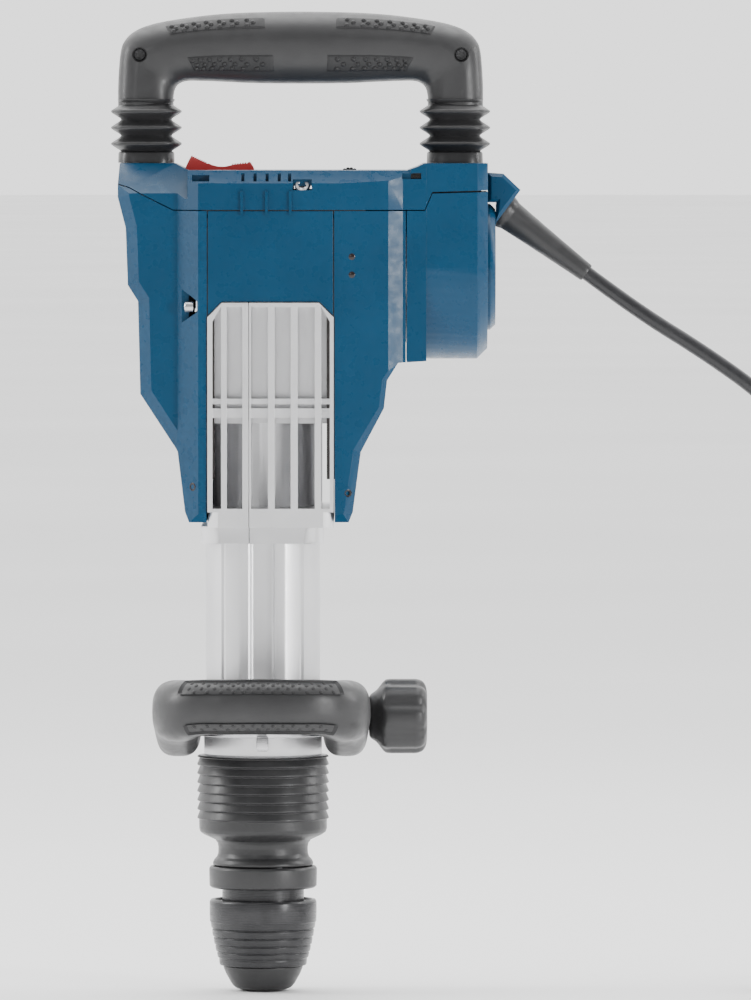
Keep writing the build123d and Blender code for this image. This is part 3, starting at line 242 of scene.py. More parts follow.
def turned_steel(name, dark, light, roughness, metallic=1.0):
    """Machined steel with fine rings along the turning direction."""
    material, tree, surface = shader(name, roughness, metallic=metallic)
    drift = ramp(tree, object_noise(tree, 90, 4), dark, light)
    tree.links.new(drift, surface.inputs["Base Color"])
    rings = object_noise(tree, 60, 2, (1, 1, 60))
    tree.links.new(ramp(tree, rings, roughness - 0.08, roughness + 0.1), surface.inputs["Roughness"])
    add_bump(tree, surface, [(rings, 0.00003, 0.4)])
    return material


def floor_material():
    material, tree, surface = shader("studio_floor", 0.85, specular=0.1)
    tone = ramp(tree, object_noise(tree, 0.8, 2), 0.86, 0.90)
    tree.links.new(tone, surface.inputs["Base Color"])
    return material


def make_materials():
    made = {}
    made["blue_plastic"] = moulded_plastic(
        "blue_plastic", (0.002, 0.040, 0.092), (0.003, 0.046, 0.103), (0.006, 0.07, 0.15),
        0.30, 2400, 0.00003, 0.22,
    )
    made["dark_plastic"] = moulded_plastic(
        "dark_plastic", (0.026, 0.026, 0.027), (0.034, 0.034, 0.035), (0.06, 0.06, 0.06),
        0.38, 1800, 0.00006, 0.45,
    )
    made["soft_grip"] = moulded_plastic(
        "soft_grip", (0.017, 0.017, 0.018), (0.023, 0.023, 0.024), (0.07, 0.07, 0.07),
        0.52, 2600, 0.00007, 0.4,
    )
    made["rubber"] = moulded_plastic(
        "rubber", (0.018, 0.018, 0.019), (0.025, 0.025, 0.026), (0.06, 0.06, 0.06), 0.38, 2000, 0.00005, 0.5)
    made["cord_sheath"] = moulded_plastic(
        "cord_sheath", (0.012, 0.012, 0.014), (0.018, 0.018, 0.020), (0.05, 0.05, 0.05),
        0.34, 1500, 0.00004, 0.5,
    )
    made["red_plastic"] = moulded_plastic(
        "red_plastic", (0.42, 0.022, 0.022), (0.48, 0.030, 0.028), (0.60, 0.12, 0.10), 0.36, 2200, 0.00004)
    made["cast_aluminium"] = cast_metal("cast_aluminium", (0.69, 0.69, 0.70), (0.75, 0.75, 0.76), 0.36, 1500)
    made["steel"] = turned_steel("steel", (0.50, 0.50, 0.52), (0.62, 0.62, 0.63), 0.30)
    made["dark_steel"] = turned_steel("dark_steel", (0.022, 0.022, 0.024), (0.034, 0.034, 0.036), 0.30, 0.25)
    made["copper"] = turned_steel("copper", (0.72, 0.32, 0.17), (0.80, 0.38, 0.22), 0.35)
    made["brass"] = turned_steel("brass", (0.66, 0.50, 0.24), (0.74, 0.58, 0.30), 0.32)
    made["carbon"] = turned_steel("carbon", (0.03, 0.03, 0.03), (0.05, 0.05, 0.05), 0.6, 0.1)
    made["webbing"] = woven("webbing", (0.014, 0.014, 0.015), (0.045, 0.045, 0.048))
    made["lamp"] = moulded_plastic(
        "lamp", (0.010, 0.006, 0.006), (0.016, 0.008, 0.008), (0.02, 0.01, 0.01), 0.12, 900, 0.00001,
    )
    return made


def woven(name, dark, light):
    """Hook tape: a fine cross weave in colour and bump."""
    material, tree, surface = shader(name, 0.8, specular=0.2)
    place = node(tree, "ShaderNodeTexCoord")
    height = None
    for direction in ("X", "Z"):
        wave = node(tree, "ShaderNodeTexWave", bands_direction=direction, Scale=900.0, Distortion=0.6)
        tree.links.new(place.outputs["Object"], wave.inputs["Vector"])
        if height is None:
            height = wave.outputs["Fac"]
            continue
        both = node(tree, "ShaderNodeMath", operation="MULTIPLY")
        tree.links.new(height, both.inputs[0])
        tree.links.new(wave.outputs["Fac"], both.inputs[1])
        height = both.outputs[0]
    tree.links.new(ramp(tree, height, dark, light), surface.inputs["Base Color"])
    add_bump(tree, surface, [(height, 0.0003, 0.7)])
    return material


MATERIALS = make_materials()


# ---- mesh helpers --------------------------------------------------------------------------------------
def finish_piece(name, mesh, body, slot_name, material=None, sharp_angle=40.0):
    """Shades a mesh, gives it its material and body, if it rides one, and returns its object."""
    obj = bpy.data.objects.new(name, mesh)
    bpy.context.collection.objects.link(obj)
    mesh.materials.clear()
    mesh.materials.append(MATERIALS[material or slot_name])
    mesh.shade_smooth()
    mesh.set_sharp_from_angle(angle=math.radians(sharp_angle))
    if body:
        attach(obj, body)
    return obj


def ring_mesh(name, rings, closed=False):
    """A mesh of quads between rings of points in millimetres."""
    count = len(rings[0])
    verts = [Vector(p) * MM for ring in rings for p in ring]
    faces = []
    spans = len(rings) if closed else len(rings) - 1
    for i in range(spans):
        a, b = i * count, (i + 1) % len(rings) * count
        for j in range(count):
            k = (j + 1) % count
            faces.append((a + j, a + k, b + k, b + j))
    if not closed:
        faces.append(tuple(reversed(range(count))))
        last = (len(rings) - 1) * count
        faces.append(tuple(range(last, last + count)))
    mesh = bpy.data.meshes.new(name)
    mesh.from_pydata(verts, [], faces)
    clean(mesh)
    return mesh


def clean(mesh):
    """Merges doubles and turns every face outwards."""
    work = bmesh.new()
    work.from_mesh(mesh)
    bmesh.ops.remove_doubles(work, verts=work.verts, dist=1e-6)
    bmesh.ops.recalc_face_normals(work, faces=work.faces)
    work.to_mesh(mesh)
    work.free()


def lathe(name, profile, segments=128, radial=None, to_world=Matrix.Identity(4)):
    """A body of revolution from a closed list of (radius, height) points. radial(angle, radius, height) may
    change the radius, for flutes and flats."""
    rings = []
    for i in range(segments):
        angle = math.tau * i / segments
        ring = []
        for radius, height in profile:
            r = radial(angle, radius, height) if radial else radius
            ring.append(to_world @ Vector((r * math.cos(angle), r * math.sin(angle), height)))
        rings.append(ring)
    return ring_mesh(name, rings, closed=True)


def rounded(profile, radius, steps=4):
    """The closed profile with each corner rounded by up to radius."""
    made = []
    count = len(profile)
    for i in range(count):
        here = Vector(profile[i])
        before = Vector(profile[i - 1]) - here
        after = Vector(profile[(i + 1) % count]) - here
        reach = min(radius, before.length * 0.45, after.length * 0.45)
        start = here + before.normalized() * reach
        end = here + after.normalized() * reach
        for j in range(steps + 1):
            t = j / steps
            made.append(tuple((1 - t) ** 2 * start + 2 * t * (1 - t) * here + t**2 * end))
    return made


def prism(name, outline, y_low, y_high, edge=0.0):
    """An (x, z) outline through the depth of the tool, with its edges rounded by a bevel."""
    rings = [[(x, y, z) for x, z in outline] for y in (y_low, y_high)]
    mesh = ring_mesh(name, rings)
    if edge:
        bevel_mesh(mesh, edge)
    return mesh


def bevel_mesh(mesh, width):
    """Rounds every edge that turns by more than 30 degrees."""
    work = bmesh.new()
    work.from_mesh(mesh)
    sharp = [e for e in work.edges if e.is_manifold and e.calc_face_angle() > math.radians(30)]
    bmesh.ops.bevel(
        work, geom=sharp, offset=width * MM, segments=3, profile=0.5, affect="EDGES", clamp_overlap=True,
    )
    bmesh.ops.recalc_face_normals(work, faces=work.faces)
    work.to_mesh(mesh)
    work.free()


def superellipse(half_u, half_v, power, count):
    """Points (u, v) of a rounded rectangle, evenly spread in angle."""
    points = []
    for i in range(count):
        angle = math.tau * i / count
        c, s = math.cos(angle), math.sin(angle)
        u = half_u * math.copysign(abs(c) ** (2 / power), c)
        v = half_v * math.copysign(abs(s) ** (2 / power), s)
        points.append((u, v))
    return points


def smooth_steps(stations, t):
    """Reads a list of (position, values...) stations at t with smooth blending."""
    for (a, *low), (b, *high) in zip(stations[:-1], stations[1:]):
        if t <= b:
            f = max(0.0, (t - a) / (b - a))
            f = f * f * (3 - 2 * f)
            return [x + (y - x) * f for x, y in zip(low, high)]
    return list(stations[-1][1:])


def cut(obj, meshes):
    """Cuts meshes out of obj for good."""
    for mesh in meshes:
        mesh.materials.append(obj.data.materials[0])
        cutter = bpy.data.objects.new("cutter", mesh)
        bpy.context.collection.objects.link(cutter)
        hole = obj.modifiers.new("hole", "BOOLEAN")
        hole.operation = "DIFFERENCE"
        hole.object = cutter
        bpy.context.view_layer.update()
        cut_mesh = bpy.data.meshes.new_from_object(obj.evaluated_get(bpy.context.evaluated_depsgraph_get()))
        obj.modifiers.clear()
        obj.data = cut_mesh
        bpy.data.objects.remove(cutter)


def bevel_cad(name, width, material):
    """Keeps a CAD node, rounds its edges a little and gives it a material."""
    obj = NODES[name]
    for i in range(max(1, len(obj.material_slots))):
        if obj.material_slots:
            obj.material_slots[i].material = MATERIALS[material]
        else:
            obj.data.materials.append(MATERIALS[material])
    if width:
        weld = obj.modifiers.new("weld", "WELD")
        weld.merge_threshold = 1e-6
        bevel = obj.modifiers.new("edges", "BEVEL")
        bevel.width = width * MM
        bevel.segments = 2
        bevel.limit_method = "ANGLE"
        bevel.angle_limit = math.radians(28)
        bevel.harden_normals = True
        bevel.use_clamp_overlap = True


# ---- cord ----------------------------------------------------------------------------------------------
CORD_R = 4.25
BOOT_START = Vector((140.6, 0, 454.3))
BOOT_DIRECTION = Vector((0.8, 0, -0.6))
BOOT_LENGTH = 60.0
BOOT_END = BOOT_START + BOOT_DIRECTION * BOOT_LENGTH
COIL_CENTRE = (374.0, 0.0)
COIL_HEIGHT = 25.8
TAIL_Z = COIL_HEIGHT + CORD_R
LEAD_ROUTE = (
    BOOT_END, BOOT_START + BOOT_DIRECTION * (BOOT_LENGTH + 36.0), (258.0, 0, 371.6), (295.0, 0, 345.0),
    (324.0, 1, 311.0), (343.0, 6, 270.0), (352.0, 14, 226.0), (353.0, 25, 182.0), (349.0, 39, 139.0),
    (342.0, 57, 98.0), (336.0, 82, 61.0), (337.0, 110, 33.0), (350.0, 136, 14.0), (376.0, 152, 5.0),
    (408.0, 150, CORD_R), (434.0, 131, CORD_R), (448.0, 102, CORD_R), (450.0, 70, CORD_R),
    (446.5, 40, CORD_R),
)
TAIL_ROUTE = (
    (403.8, 34.9, TAIL_Z - 0.5), (421.6, 18.0, TAIL_Z + 0.8), (428.9, -5.4, TAIL_Z + 1.8),
    (424.0, -29.5, TAIL_Z + 2.8), (408.1, -48.1, TAIL_Z + 3.8), (385.1, -56.7, TAIL_Z + 4.6),
)
COIL_LAYERS = (  # start radius, end radius, turns and height of each layer of the coil
    (65.8, 38.0, 3.30, CORD_R),
    (38.0, 65.4, 3.25, CORD_R + 8.5),
    (65.4, 41.0, 3.24, CORD_R + 17.1),
)
POINTS_PER_TURN = 14


def coil_points():
    """Clockwise turns in three layers, wound in, out and in again."""
    points = []
    turned = 0.0
    rise_span = 0.25
    for index, (r_start, r_end, turns, height) in enumerate(COIL_LAYERS):
        steps = round(turns * POINTS_PER_TURN)
        for i in range(steps):
            part = i / steps
            radius = r_start + (r_end - r_start) * part
            z = height
            if index + 1 < len(COIL_LAYERS):  # climb to the next layer over the last part of a turn
                left = (1 - part) * turns
                if left < rise_span:
                    z += (COIL_LAYERS[index + 1][3] - height) * (1 - left / rise_span)
            angle = math.radians(10) - math.tau * (turned + turns * part)
            points.append((
                COIL_CENTRE[0] + radius * math.cos(angle), COIL_CENTRE[1] + radius * math.sin(angle), z,
            ))
        turned += turns
    return points


def make_cord():
    """The whole lead as one spline, from its boot to the plug."""
    route = [*LEAD_ROUTE, *coil_points(), *TAIL_ROUTE]
    curve = bpy.data.curves.new("mains_cord", "CURVE")
    curve.dimensions = "3D"
    curve.bevel_depth = CORD_R * MM
    curve.bevel_resolution = 6
    curve.resolution_u = 10
    curve.use_fill_caps = True
    spline = curve.splines.new("NURBS")
    spline.points.add(len(route) - 1)
    for point, place in zip(spline.points, route):
        point.co = (*(Vector(place) * MM), 1)
    spline.order_u = 3
    spline.use_endpoint_u = True
    curve.materials.append(MATERIALS["cord_sheath"])
    cord = bpy.data.objects.new("mains_cord", curve)
    bpy.context.collection.objects.link(cord)
    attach(cord, "housing")
    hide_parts("cord_lead", "cord_coil", "cord_tail")
    plug, pins = make_plug()
    tie = make_tie()


def make_plug():
    """Two-pin contour plug: flat oval body with a grip waist and two round pins."""
    end = Vector(TAIL_ROUTE[-1])
    heading = (end - Vector(TAIL_ROUTE[-2])).normalized()
    side = Vector((0, 0, 1)).cross(heading).normalized()
    up = heading.cross(side)
    stations = (  # distance, half width, half thickness, squareness
        (-2.0, 5.6, 5.6, 2.0), (4.0, 6.2, 6.0, 2.0), (14.0, 8.4, 6.2, 2.2), (21.0, 12.0, 6.6, 2.6),
        (27.0, 17.0, 7.4, 3.0), (33.0, 18.0, 8.2, 3.4), (38.6, 18.0, 8.2, 3.6), (40.0, 17.0, 7.2, 3.6),
    )
    rings = []
    for i in range(43):
        t = -2.0 + i
        half_u, half_v, power = smooth_steps(stations, t)
        if 5.0 < t < 19.0:  # moulded ribs of the strain relief
            half_u += 0.5 * math.sin(t * 1.9)
            half_v += 0.5 * math.sin(t * 1.9)
        ring = [end + heading * t + side * u + up * v for u, v in superellipse(half_u, half_v, power, 48)]
        rings.append(ring)
    plug = finish_piece("plug_body", ring_mesh("plug_body", rings), "housing", "rubber")
    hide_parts("plug")
    pin_profile = rounded([(0, 0), (2.4, 0), (2.4, 17.6), (1.4, 19.0), (0, 19.0)], 0.8)
    pin_mesh = bmesh.new()
    for offset in (-9.5, 9.5):
        base = end + heading * 40.0 + side * offset
        turn = Matrix((side, up, heading)).transposed().to_4x4()
        turn.translation = base
        mesh = lathe("pin", pin_profile, 24, to_world=turn)
        pin_mesh.from_mesh(mesh)
        bpy.data.meshes.remove(mesh)
    mesh = bpy.data.meshes.new("plug_pins")
    pin_mesh.to_mesh(mesh)
    pin_mesh.free()
    pins = finish_piece("plug_pins", mesh, "housing", "brass", "brass")
    return plug, pins


def make_tie():
    """Hook-tape tie round the coil's section, as a closed band."""
    x_out, x_in = COIL_CENTRE[0] - 71.6, COIL_CENTRE[0] - 32.4
    half_width, thickness = 8.5, 1.1
    low, high = 0.1, COIL_HEIGHT + 0.6
    outline = rounded([(x_out, low), (x_in, low), (x_in, high), (x_out, high)], 5.0, 6)
    middle = Vector(((x_out + x_in) / 2, (low + high) / 2))
    rings = []
    for x, z in outline:
        outward = (Vector((x, z)) - middle).normalized()
        grown = Vector((x, z)) + outward * thickness
        grown.y = max(grown.y, 0.05)
        rings.append([
            (x, -half_width, z), (x, half_width, z),
            (grown.x, half_width, grown.y), (grown.x, -half_width, grown.y),
        ])
    mesh = ring_mesh("coil_tie", rings, closed=True)
    tie = finish_piece("coil_tie", mesh, "housing", "webbing")
    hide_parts("cord_tie")
    return tie


def make_cord_boot():
    """Tapered strain relief."""
    side = Vector((0, 1, 0))
    up = BOOT_DIRECTION.cross(side).normalized()
    turn = Matrix((side, up, BOOT_DIRECTION)).transposed().to_4x4()
    turn.translation = BOOT_START
    outer = [(10.2, -4.0), (10.3, 0.6), (9.6, 3.0)]
    steps = 40
    for i in range(steps + 1):
        t = 4.0 + (BOOT_LENGTH - 5.0) * i / steps
        radius = 9.5 - 4.1 * (t / BOOT_LENGTH) ** 0.85
        outer.append((radius, t))
    outer += [
        (5.1, BOOT_LENGTH), (CORD_R + 0.05, BOOT_LENGTH), (CORD_R + 0.05, BOOT_LENGTH - 6),
        (0.01, BOOT_LENGTH - 6), (0.01, -4.0),
    ]
    mesh = lathe("cord_boot_sleeve", outer, 64, to_world=turn)
    boot = finish_piece("cord_boot_sleeve", mesh, "housing", "rubber")
    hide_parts("cord_boot")


# ---- main handle ---------------------------------------------------------------------------------------
HANDLE_MID_X = 22.0
SCREW_X = (-71.4, 115.4)
SCREW_Z = 545.4
BELLOWS_X = (-67.8, 111.8)
SPRING_X = (-67.1, 110.5)
HANDLE_RINGS = 150
HANDLE_POINTS = 72


def handle_outline():
    """Outer and inner points of the bow, paired along its length, from the left foot to the right one."""
    outer_left = (
        (515.0, -84.2), (528.0, -84.2), (542.5, -83.3), (549.5, -82.2), (553.5, -80.4), (557.5, -76.8),
        (561.0, -70.8), (564.0, -61.0), (566.6, -46.0), (568.8, -28.0), (570.0, -8.0), (570.5, 22.0),
    )
    inner_left = (
        (515.0, -52.0), (520.5, -52.0), (525.0, -51.2), (527.4, -49.8), (528.9, -47.9), (529.8, -45.6),
        (530.2, -42.6), (530.2, -39.0), (530.0, -32.0), (529.5, -20.0), (528.8, -4.0), (528.6, 22.0),
    )
    pairs = [(Vector((a, z)), Vector((b, w))) for (z, a), (w, b) in zip(outer_left, inner_left)]
    mirrored = [
        (Vector((2 * HANDLE_MID_X - p.x, p.y)), Vector((2 * HANDLE_MID_X - q.x, q.y)))
        for p, q in reversed(pairs[:-1])
    ]
    return pairs + mirrored


def catmull(points, t):
    """A smooth point at t (0 to 1) through a list of points."""
    spans = len(points) - 1
    place = min(max(t, 0.0), 1.0) * spans
    i = min(int(place), spans - 1)
    f = place - i
    p0, p1 = points[max(i - 1, 0)], points[i]
    p2, p3 = points[i + 1], points[min(i + 2, spans)]
    return 0.5 * (
        2 * p1 + (p2 - p0) * f + (2 * p0 - 5 * p1 + 4 * p2 - p3) * f**2 + (3 * p1 - p0 - 3 * p2 + p3) * f**3
    )


PAIRS = handle_outline()
OUTER_LINE = [p for p, _ in PAIRS]
INNER_LINE = [q for _, q in PAIRS]


def handle_point(t, angle):
    """A point of the handle's skin: t runs along the bow, the angle goes from its outer edge to the front."""
    outer, inner = catmull(OUTER_LINE, t), catmull(INNER_LINE, t)
    middle = (outer + inner) / 2
    half_u = (outer - inner).length / 2
    along_leg = abs(t - 0.5) * 2
    half_depth = smooth_steps(((0.0, 19.5), (0.45, 18.4), (0.75, 18.0), (1.0, 19.6)), along_leg)[0]
    power = smooth_steps(((0.0, 2.35), (0.5, 2.5), (0.85, 3.2), (1.0, 3.6)), along_leg)[0]
    c, s = math.cos(angle), math.sin(angle)
    u = math.copysign(abs(c) ** (2 / power), c)
    v = math.copysign(abs(s) ** (2 / power), s)
    ridge = 0.34
    crest = max(0.0, 1 - abs(u - ridge) / (0.66 if u > ridge else 1.34))
    depth = half_depth * v * (0.90 + 0.10 * crest)
    direction = (outer - middle).normalized()
    place = middle + direction * (u * half_u)
    return Vector((place.x, -depth, place.y))


def handle_normal(t, angle):
    step = 0.002
    along = handle_point(t + step, angle) - handle_point(t - step, angle)
    around = handle_point(t, angle + step) - handle_point(t, angle - step)
    return around.cross(along).normalized()


def make_main_handle():
    rings = []
    for i in range(HANDLE_RINGS + 1):
        t = i / HANDLE_RINGS
        rings.append([handle_point(t, math.tau * j / HANDLE_POINTS) for j in range(HANDLE_POINTS)])
    mesh = ring_mesh("handle_bow", rings)
    bow = finish_piece("handle_bow", mesh, "main_handle", "dark_plastic", sharp_angle=60)
    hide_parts("handle_front_shell", "handle_rear_shell")
    cutters = []
    for x in SCREW_X:
        for side in (-1, 1):
            turn = Matrix(((1, 0, 0, x), (0, 0, side, 0), (0, 1, 0, SCREW_Z), (0, 0, 0, 1)))
            recess = [(0.01, 13.0), (4.4, 13.0), (4.4, 30.0), (0.01, 30.0)]
            cutters.append(lathe("cutter", recess, 48, to_world=turn))
    cut(bow, cutters)
    return bow


def make_grip_pads():
    """Soft panels let into the grip, each with rows of small nubs."""
    panels = (
        ("grip_pad_lower_left", 0.335, 0.478, 97, 130), ("grip_pad_lower_right", 0.522, 0.665, 97, 130),
        ("grip_pad_upper_left", 0.325, 0.472, 36, 62), ("grip_pad_upper_right", 0.528, 0.675, 36, 62),
    )
    for side in (1, -1):
        for name, t_low, t_high, a_low, a_high in panels:
            word = "front" if side > 0 else "rear"
            angles = (side * math.radians(a_low), side * math.radians(a_high))
            pad_piece(f"{name}_{word}", t_low, t_high, *angles)


def pad_piece(name, t_low, t_high, a_low, a_high):
    """A raised patch of the handle's skin with a rounded rim and three rows of nubs."""
    columns, rows = 34, 12
    lift, sink = 0.6, -1.2
    rings = []
    for i in range(columns + 1):
        row = []
        for j in range(rows + 1):
            t = t_low + (t_high - t_low) * i / columns
            a = a_low + (a_high - a_low) * j / rows
            rim = i in (0, columns) or j in (0, rows)
            height = sink if rim else lift
            row.append(handle_point(t, a) + handle_normal(t, a) * height)
        rings.append(row)
    work = bmesh.new()
    grid = [[work.verts.new(p * MM) for p in row] for row in rings]
    for i in range(columns):
        for j in range(rows):
            work.faces.new((grid[i][j], grid[i + 1][j], grid[i + 1][j + 1], grid[i][j + 1]))
    for row_index, share in enumerate((0.25, 0.5, 0.75)):
        count = 7
        for k in range(count):
            t = t_low + (t_high - t_low) * (k + 0.7 + 0.35 * (row_index % 2)) / (count + 0.8)
            a = a_low + (a_high - a_low) * share
            add_nub(work, handle_point(t, a) + handle_normal(t, a) * lift, handle_normal(t, a), 1.45)
    bmesh.ops.recalc_face_normals(work, faces=work.faces)
    mesh = bpy.data.meshes.new(name)
    work.to_mesh(mesh)
    work.free()
    finish_piece(name, mesh, "main_handle", "soft_grip", sharp_angle=70)


def add_nub(work, place, normal, radius):
    """A small dome on a surface."""
    turn = normal.to_track_quat("Z", "Y").to_matrix().to_4x4()
    turn.translation = place * MM
    flattened = turn @ Matrix.Diagonal((1, 1, 0.75, 1))
    bmesh.ops.create_icosphere(work, subdivisions=2, radius=radius * MM, matrix=flattened)


def make_bellows():
    """Rubber bellows under both legs, in one mesh."""
    foot, top = 482.6, 519.6
    profile = [(foot, -0.2), (foot + 5.6, -0.4), (foot + 6.4, -1.0)]
    folds, start, pitch = 3, 488.8, 9.4
    for i in range(folds):
        base = start + i * pitch
        profile += [
            (base + 0.2, -1.9), (base + 1.0, -1.2), (base + pitch * 0.36, 2.6), (base + pitch * 0.47, 3.9),
            (base + pitch * 0.56, 3.9), (base + pitch * 0.67, 2.4), (base + pitch * 0.93, -1.3),
        ]
    profile += [(start + folds * pitch + 0.2, -1.9), (start + folds * pitch + 1.2, -0.5), (top, 0.1)]
    work = bmesh.new()
    for x in BELLOWS_X:
        rings = []
        for z, grow in profile:
            rings.append([(x + u, v, z) for u, v in superellipse(16.6 + grow, 20.4 + grow, 3.6, 72)])
        mesh = ring_mesh("fold", rings)
        work.from_mesh(mesh)
        bpy.data.meshes.remove(mesh)
    mesh = bpy.data.meshes.new("bellows")
    work.to_mesh(mesh)
    work.free()
    bellows = finish_piece("bellows", mesh, None, "rubber", sharp_angle=75)
    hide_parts("handle_bellows")
    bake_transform(bellows)


def spring_mesh(name, centres, radius, wire, low, high, pitch):
    """Coil springs of round wire, one at each x of centres, from low to high."""
    work = bmesh.new()
    turns = (high - low - 2 * wire) / pitch
    steps = round(turns * 36)
    for x in centres:
        rings = []
        for i in range(steps + 1):
            angle = math.tau * turns * i / steps
            z = low + wire + (high - low - 2 * wire) * i / steps
            ring = []
            for j in range(10):
                a = math.tau * j / 10
                r = radius + wire * math.cos(a)
                ring.append((x + r * math.cos(angle), r * math.sin(angle), z + wire * math.sin(a)))
            rings.append(ring)
        mesh = ring_mesh("coil", rings)
        work.from_mesh(mesh)
        bpy.data.meshes.remove(mesh)
    mesh = bpy.data.meshes.new(name)
    work.to_mesh(mesh)
    work.free()
    return mesh


def make_springs():
    """Springs in the bellows and in the locking sleeve."""
    handle = spring_mesh("damper_springs", SPRING_X, 9.4, 1.1, 482.8, 514.9, 5.0)
    handle = finish_piece("damper_springs", handle, "housing", "steel")
    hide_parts("handle_springs")
    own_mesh(handle)
    sleeve = spring_mesh("sleeve_spring", (0.0,), 21.2, 0.9, 40.6, 49.8, 2.4)
    sleeve = finish_piece("sleeve_spring", sleeve, "tool_holder", "steel")
    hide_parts("locking_sleeve_spring")
    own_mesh(sleeve)


# ---- nose ----------------------------------------------------------------------------------------------
def make_front_boot():
    outer = [(24.6, 73.2), (29.2, 73.2), (29.3, 74.6), (28.4, 76.4), (26.9, 78.0), (26.2, 80.2), (26.1, 83.6),
             (26.6, 86.0), (28.0, 88.0), (30.6, 89.2), (34.6, 91.0), (36.7, 92.6), (37.3, 94.6), (37.3, 99.6)]
    for i in range(7):
        base = 100.0 + i * 5.2
        outer += [
            (37.4, base), (38.4, base + 0.5), (38.4, base + 1.0), (37.1, base + 4.4), (36.9, base + 4.9),
        ]
    outer += [(38.3, 136.2), (38.2, 136.9), (37.6, 137.3), (34.9, 137.3), (34.9, 97.2), (24.6, 84.6)]
    mesh = lathe("ribbed_boot", rounded(outer, 0.35, 2), 144)
    boot = finish_piece("ribbed_boot", mesh, "housing", "rubber", sharp_angle=50)
    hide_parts("front_boot")


def make_nose():
    """Adjusting ring, stepped locking sleeve and dust cap."""
    ring = rounded([
        (24.2, 59.8), (29.8, 59.8), (31.3, 61.0), (31.5, 71.2), (30.6, 72.5), (28.4, 72.5), (28.0, 69.0),
        (24.2, 69.0),
    ], 0.5, 3)
    mesh = lathe("turning_ring", ring, 128)
    piece = finish_piece("turning_ring", mesh, "adjusting_ring", "dark_plastic", sharp_angle=45)
    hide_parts("adjusting_ring")
    steps = [(18.4, 14.5), (24.9, 14.5), (25.4, 15.2), (25.7, 17.8)]
    for radius, low, high in (
        (26.5, 18.4, 22.0), (27.5, 22.0, 26.2), (28.5, 26.2, 30.8), (29.4, 30.8, 35.6), (30.2, 35.6, 40.0),
    ):
        steps += [
            (radius - 0.9, low), (radius - 0.8, low + 0.5), (radius, low + 0.9), (radius + 0.45, high - 0.2),
        ]
    steps += [
        (31.1, 40.2), (31.3, 47.5), (31.2, 51.8), (30.4, 53.0), (28.6, 53.0), (28.2, 51.4), (24.25, 51.4),
        (24.25, 40.4), (18.4, 40.4),
    ]
    mesh = lathe("stepped_sleeve", rounded(steps, 0.25, 2), 144)
    piece = finish_piece("stepped_sleeve", mesh, "locking_sleeve", "dark_steel", sharp_angle=45)
    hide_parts("locking_sleeve")
    cap = rounded([
        (9.1, 0.1), (12.6, 0.1), (16.4, 1.4), (18.6, 4.0), (21.6, 9.4), (23.1, 13.0), (23.2, 14.2),
        (15.1, 14.2), (15.1, 4.0), (9.1, 4.0),
    ], 1.2, 4)
    mesh = lathe("rubber_dust_cap", cap, 96)
    piece = finish_piece("rubber_dust_cap", mesh, "tool_holder", "rubber", sharp_angle=50)
    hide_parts("dust_cap")


def barrel_outline(seat):
    """Section of the cast barrel: a cylinder with a faceted front and rear, and a sunk channel in each."""
    radius = 34.4 if seat else 33.3
    front = []
    for i in range(33):
        angle = math.radians(-2 + 46 * i / 32)
        front.append((radius * math.cos(angle), -radius * math.sin(angle)))
    if seat:
        front += [
            (radius * math.cos(math.radians(a)), -radius * math.sin(math.radians(a)))
            for a in range(47, 90, 3)
        ]
        right = front
    else:  # small groove, slanted facet, flat rib and channel wall
        right = [
            *front, (22.2, -23.4), (21.4, -24.6), (22.4, -27.0), (21.4, -29.0), (14.2, -34.4), (12.4, -35.0),
            (8.2, -35.2), (7.2, -34.8), (6.3, -31.4), (5.4, -30.9),
        ]
    quarter = [(x, y) for x, y in right if x > 0]
    left = [(-x, y) for x, y in reversed(quarter)]
    half = quarter + ([(0, -radius)] if seat else []) + left
    rear = [(x, -y) for x, y in reversed(half)]
    return half[1:-1] + rear[1:-1]


def make_barrel():
    body = []
    outline = barrel_outline(False)
    for z, grow in ((180.6, -0.5), (181.4, 0.0), (244.0, 0.0), (257.0, 0.0), (261.9, 0.0)):
        body.append([(x * (1 + grow / 34), y * (1 + grow / 34), z) for x, y in outline])
    mesh = ring_mesh("barrel_casting", body)
    barrel = finish_piece("barrel_casting", mesh, "housing", "cast_aluminium", sharp_angle=24)
    seat = rounded([
        (30.0, 137.6), (34.0, 137.6), (34.4, 138.2), (34.4, 180.4), (33.6, 181.2), (30.0, 181.2),
    ], 0.4, 2)
    finish_piece("barrel_seat", lathe("barrel_seat", seat, 128), "housing", "cast_aluminium", sharp_angle=40)
    collar = rounded([(28.0, 134.6), (36.8, 134.6), (37.0, 137.2), (34.2, 138.0), (28.0, 138.0)], 0.3, 2)
    foot = lathe("barrel_foot", collar, 128)
    finish_piece("barrel_foot", foot, "housing", "cast_aluminium", sharp_angle=40)
    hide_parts("barrel_housing")


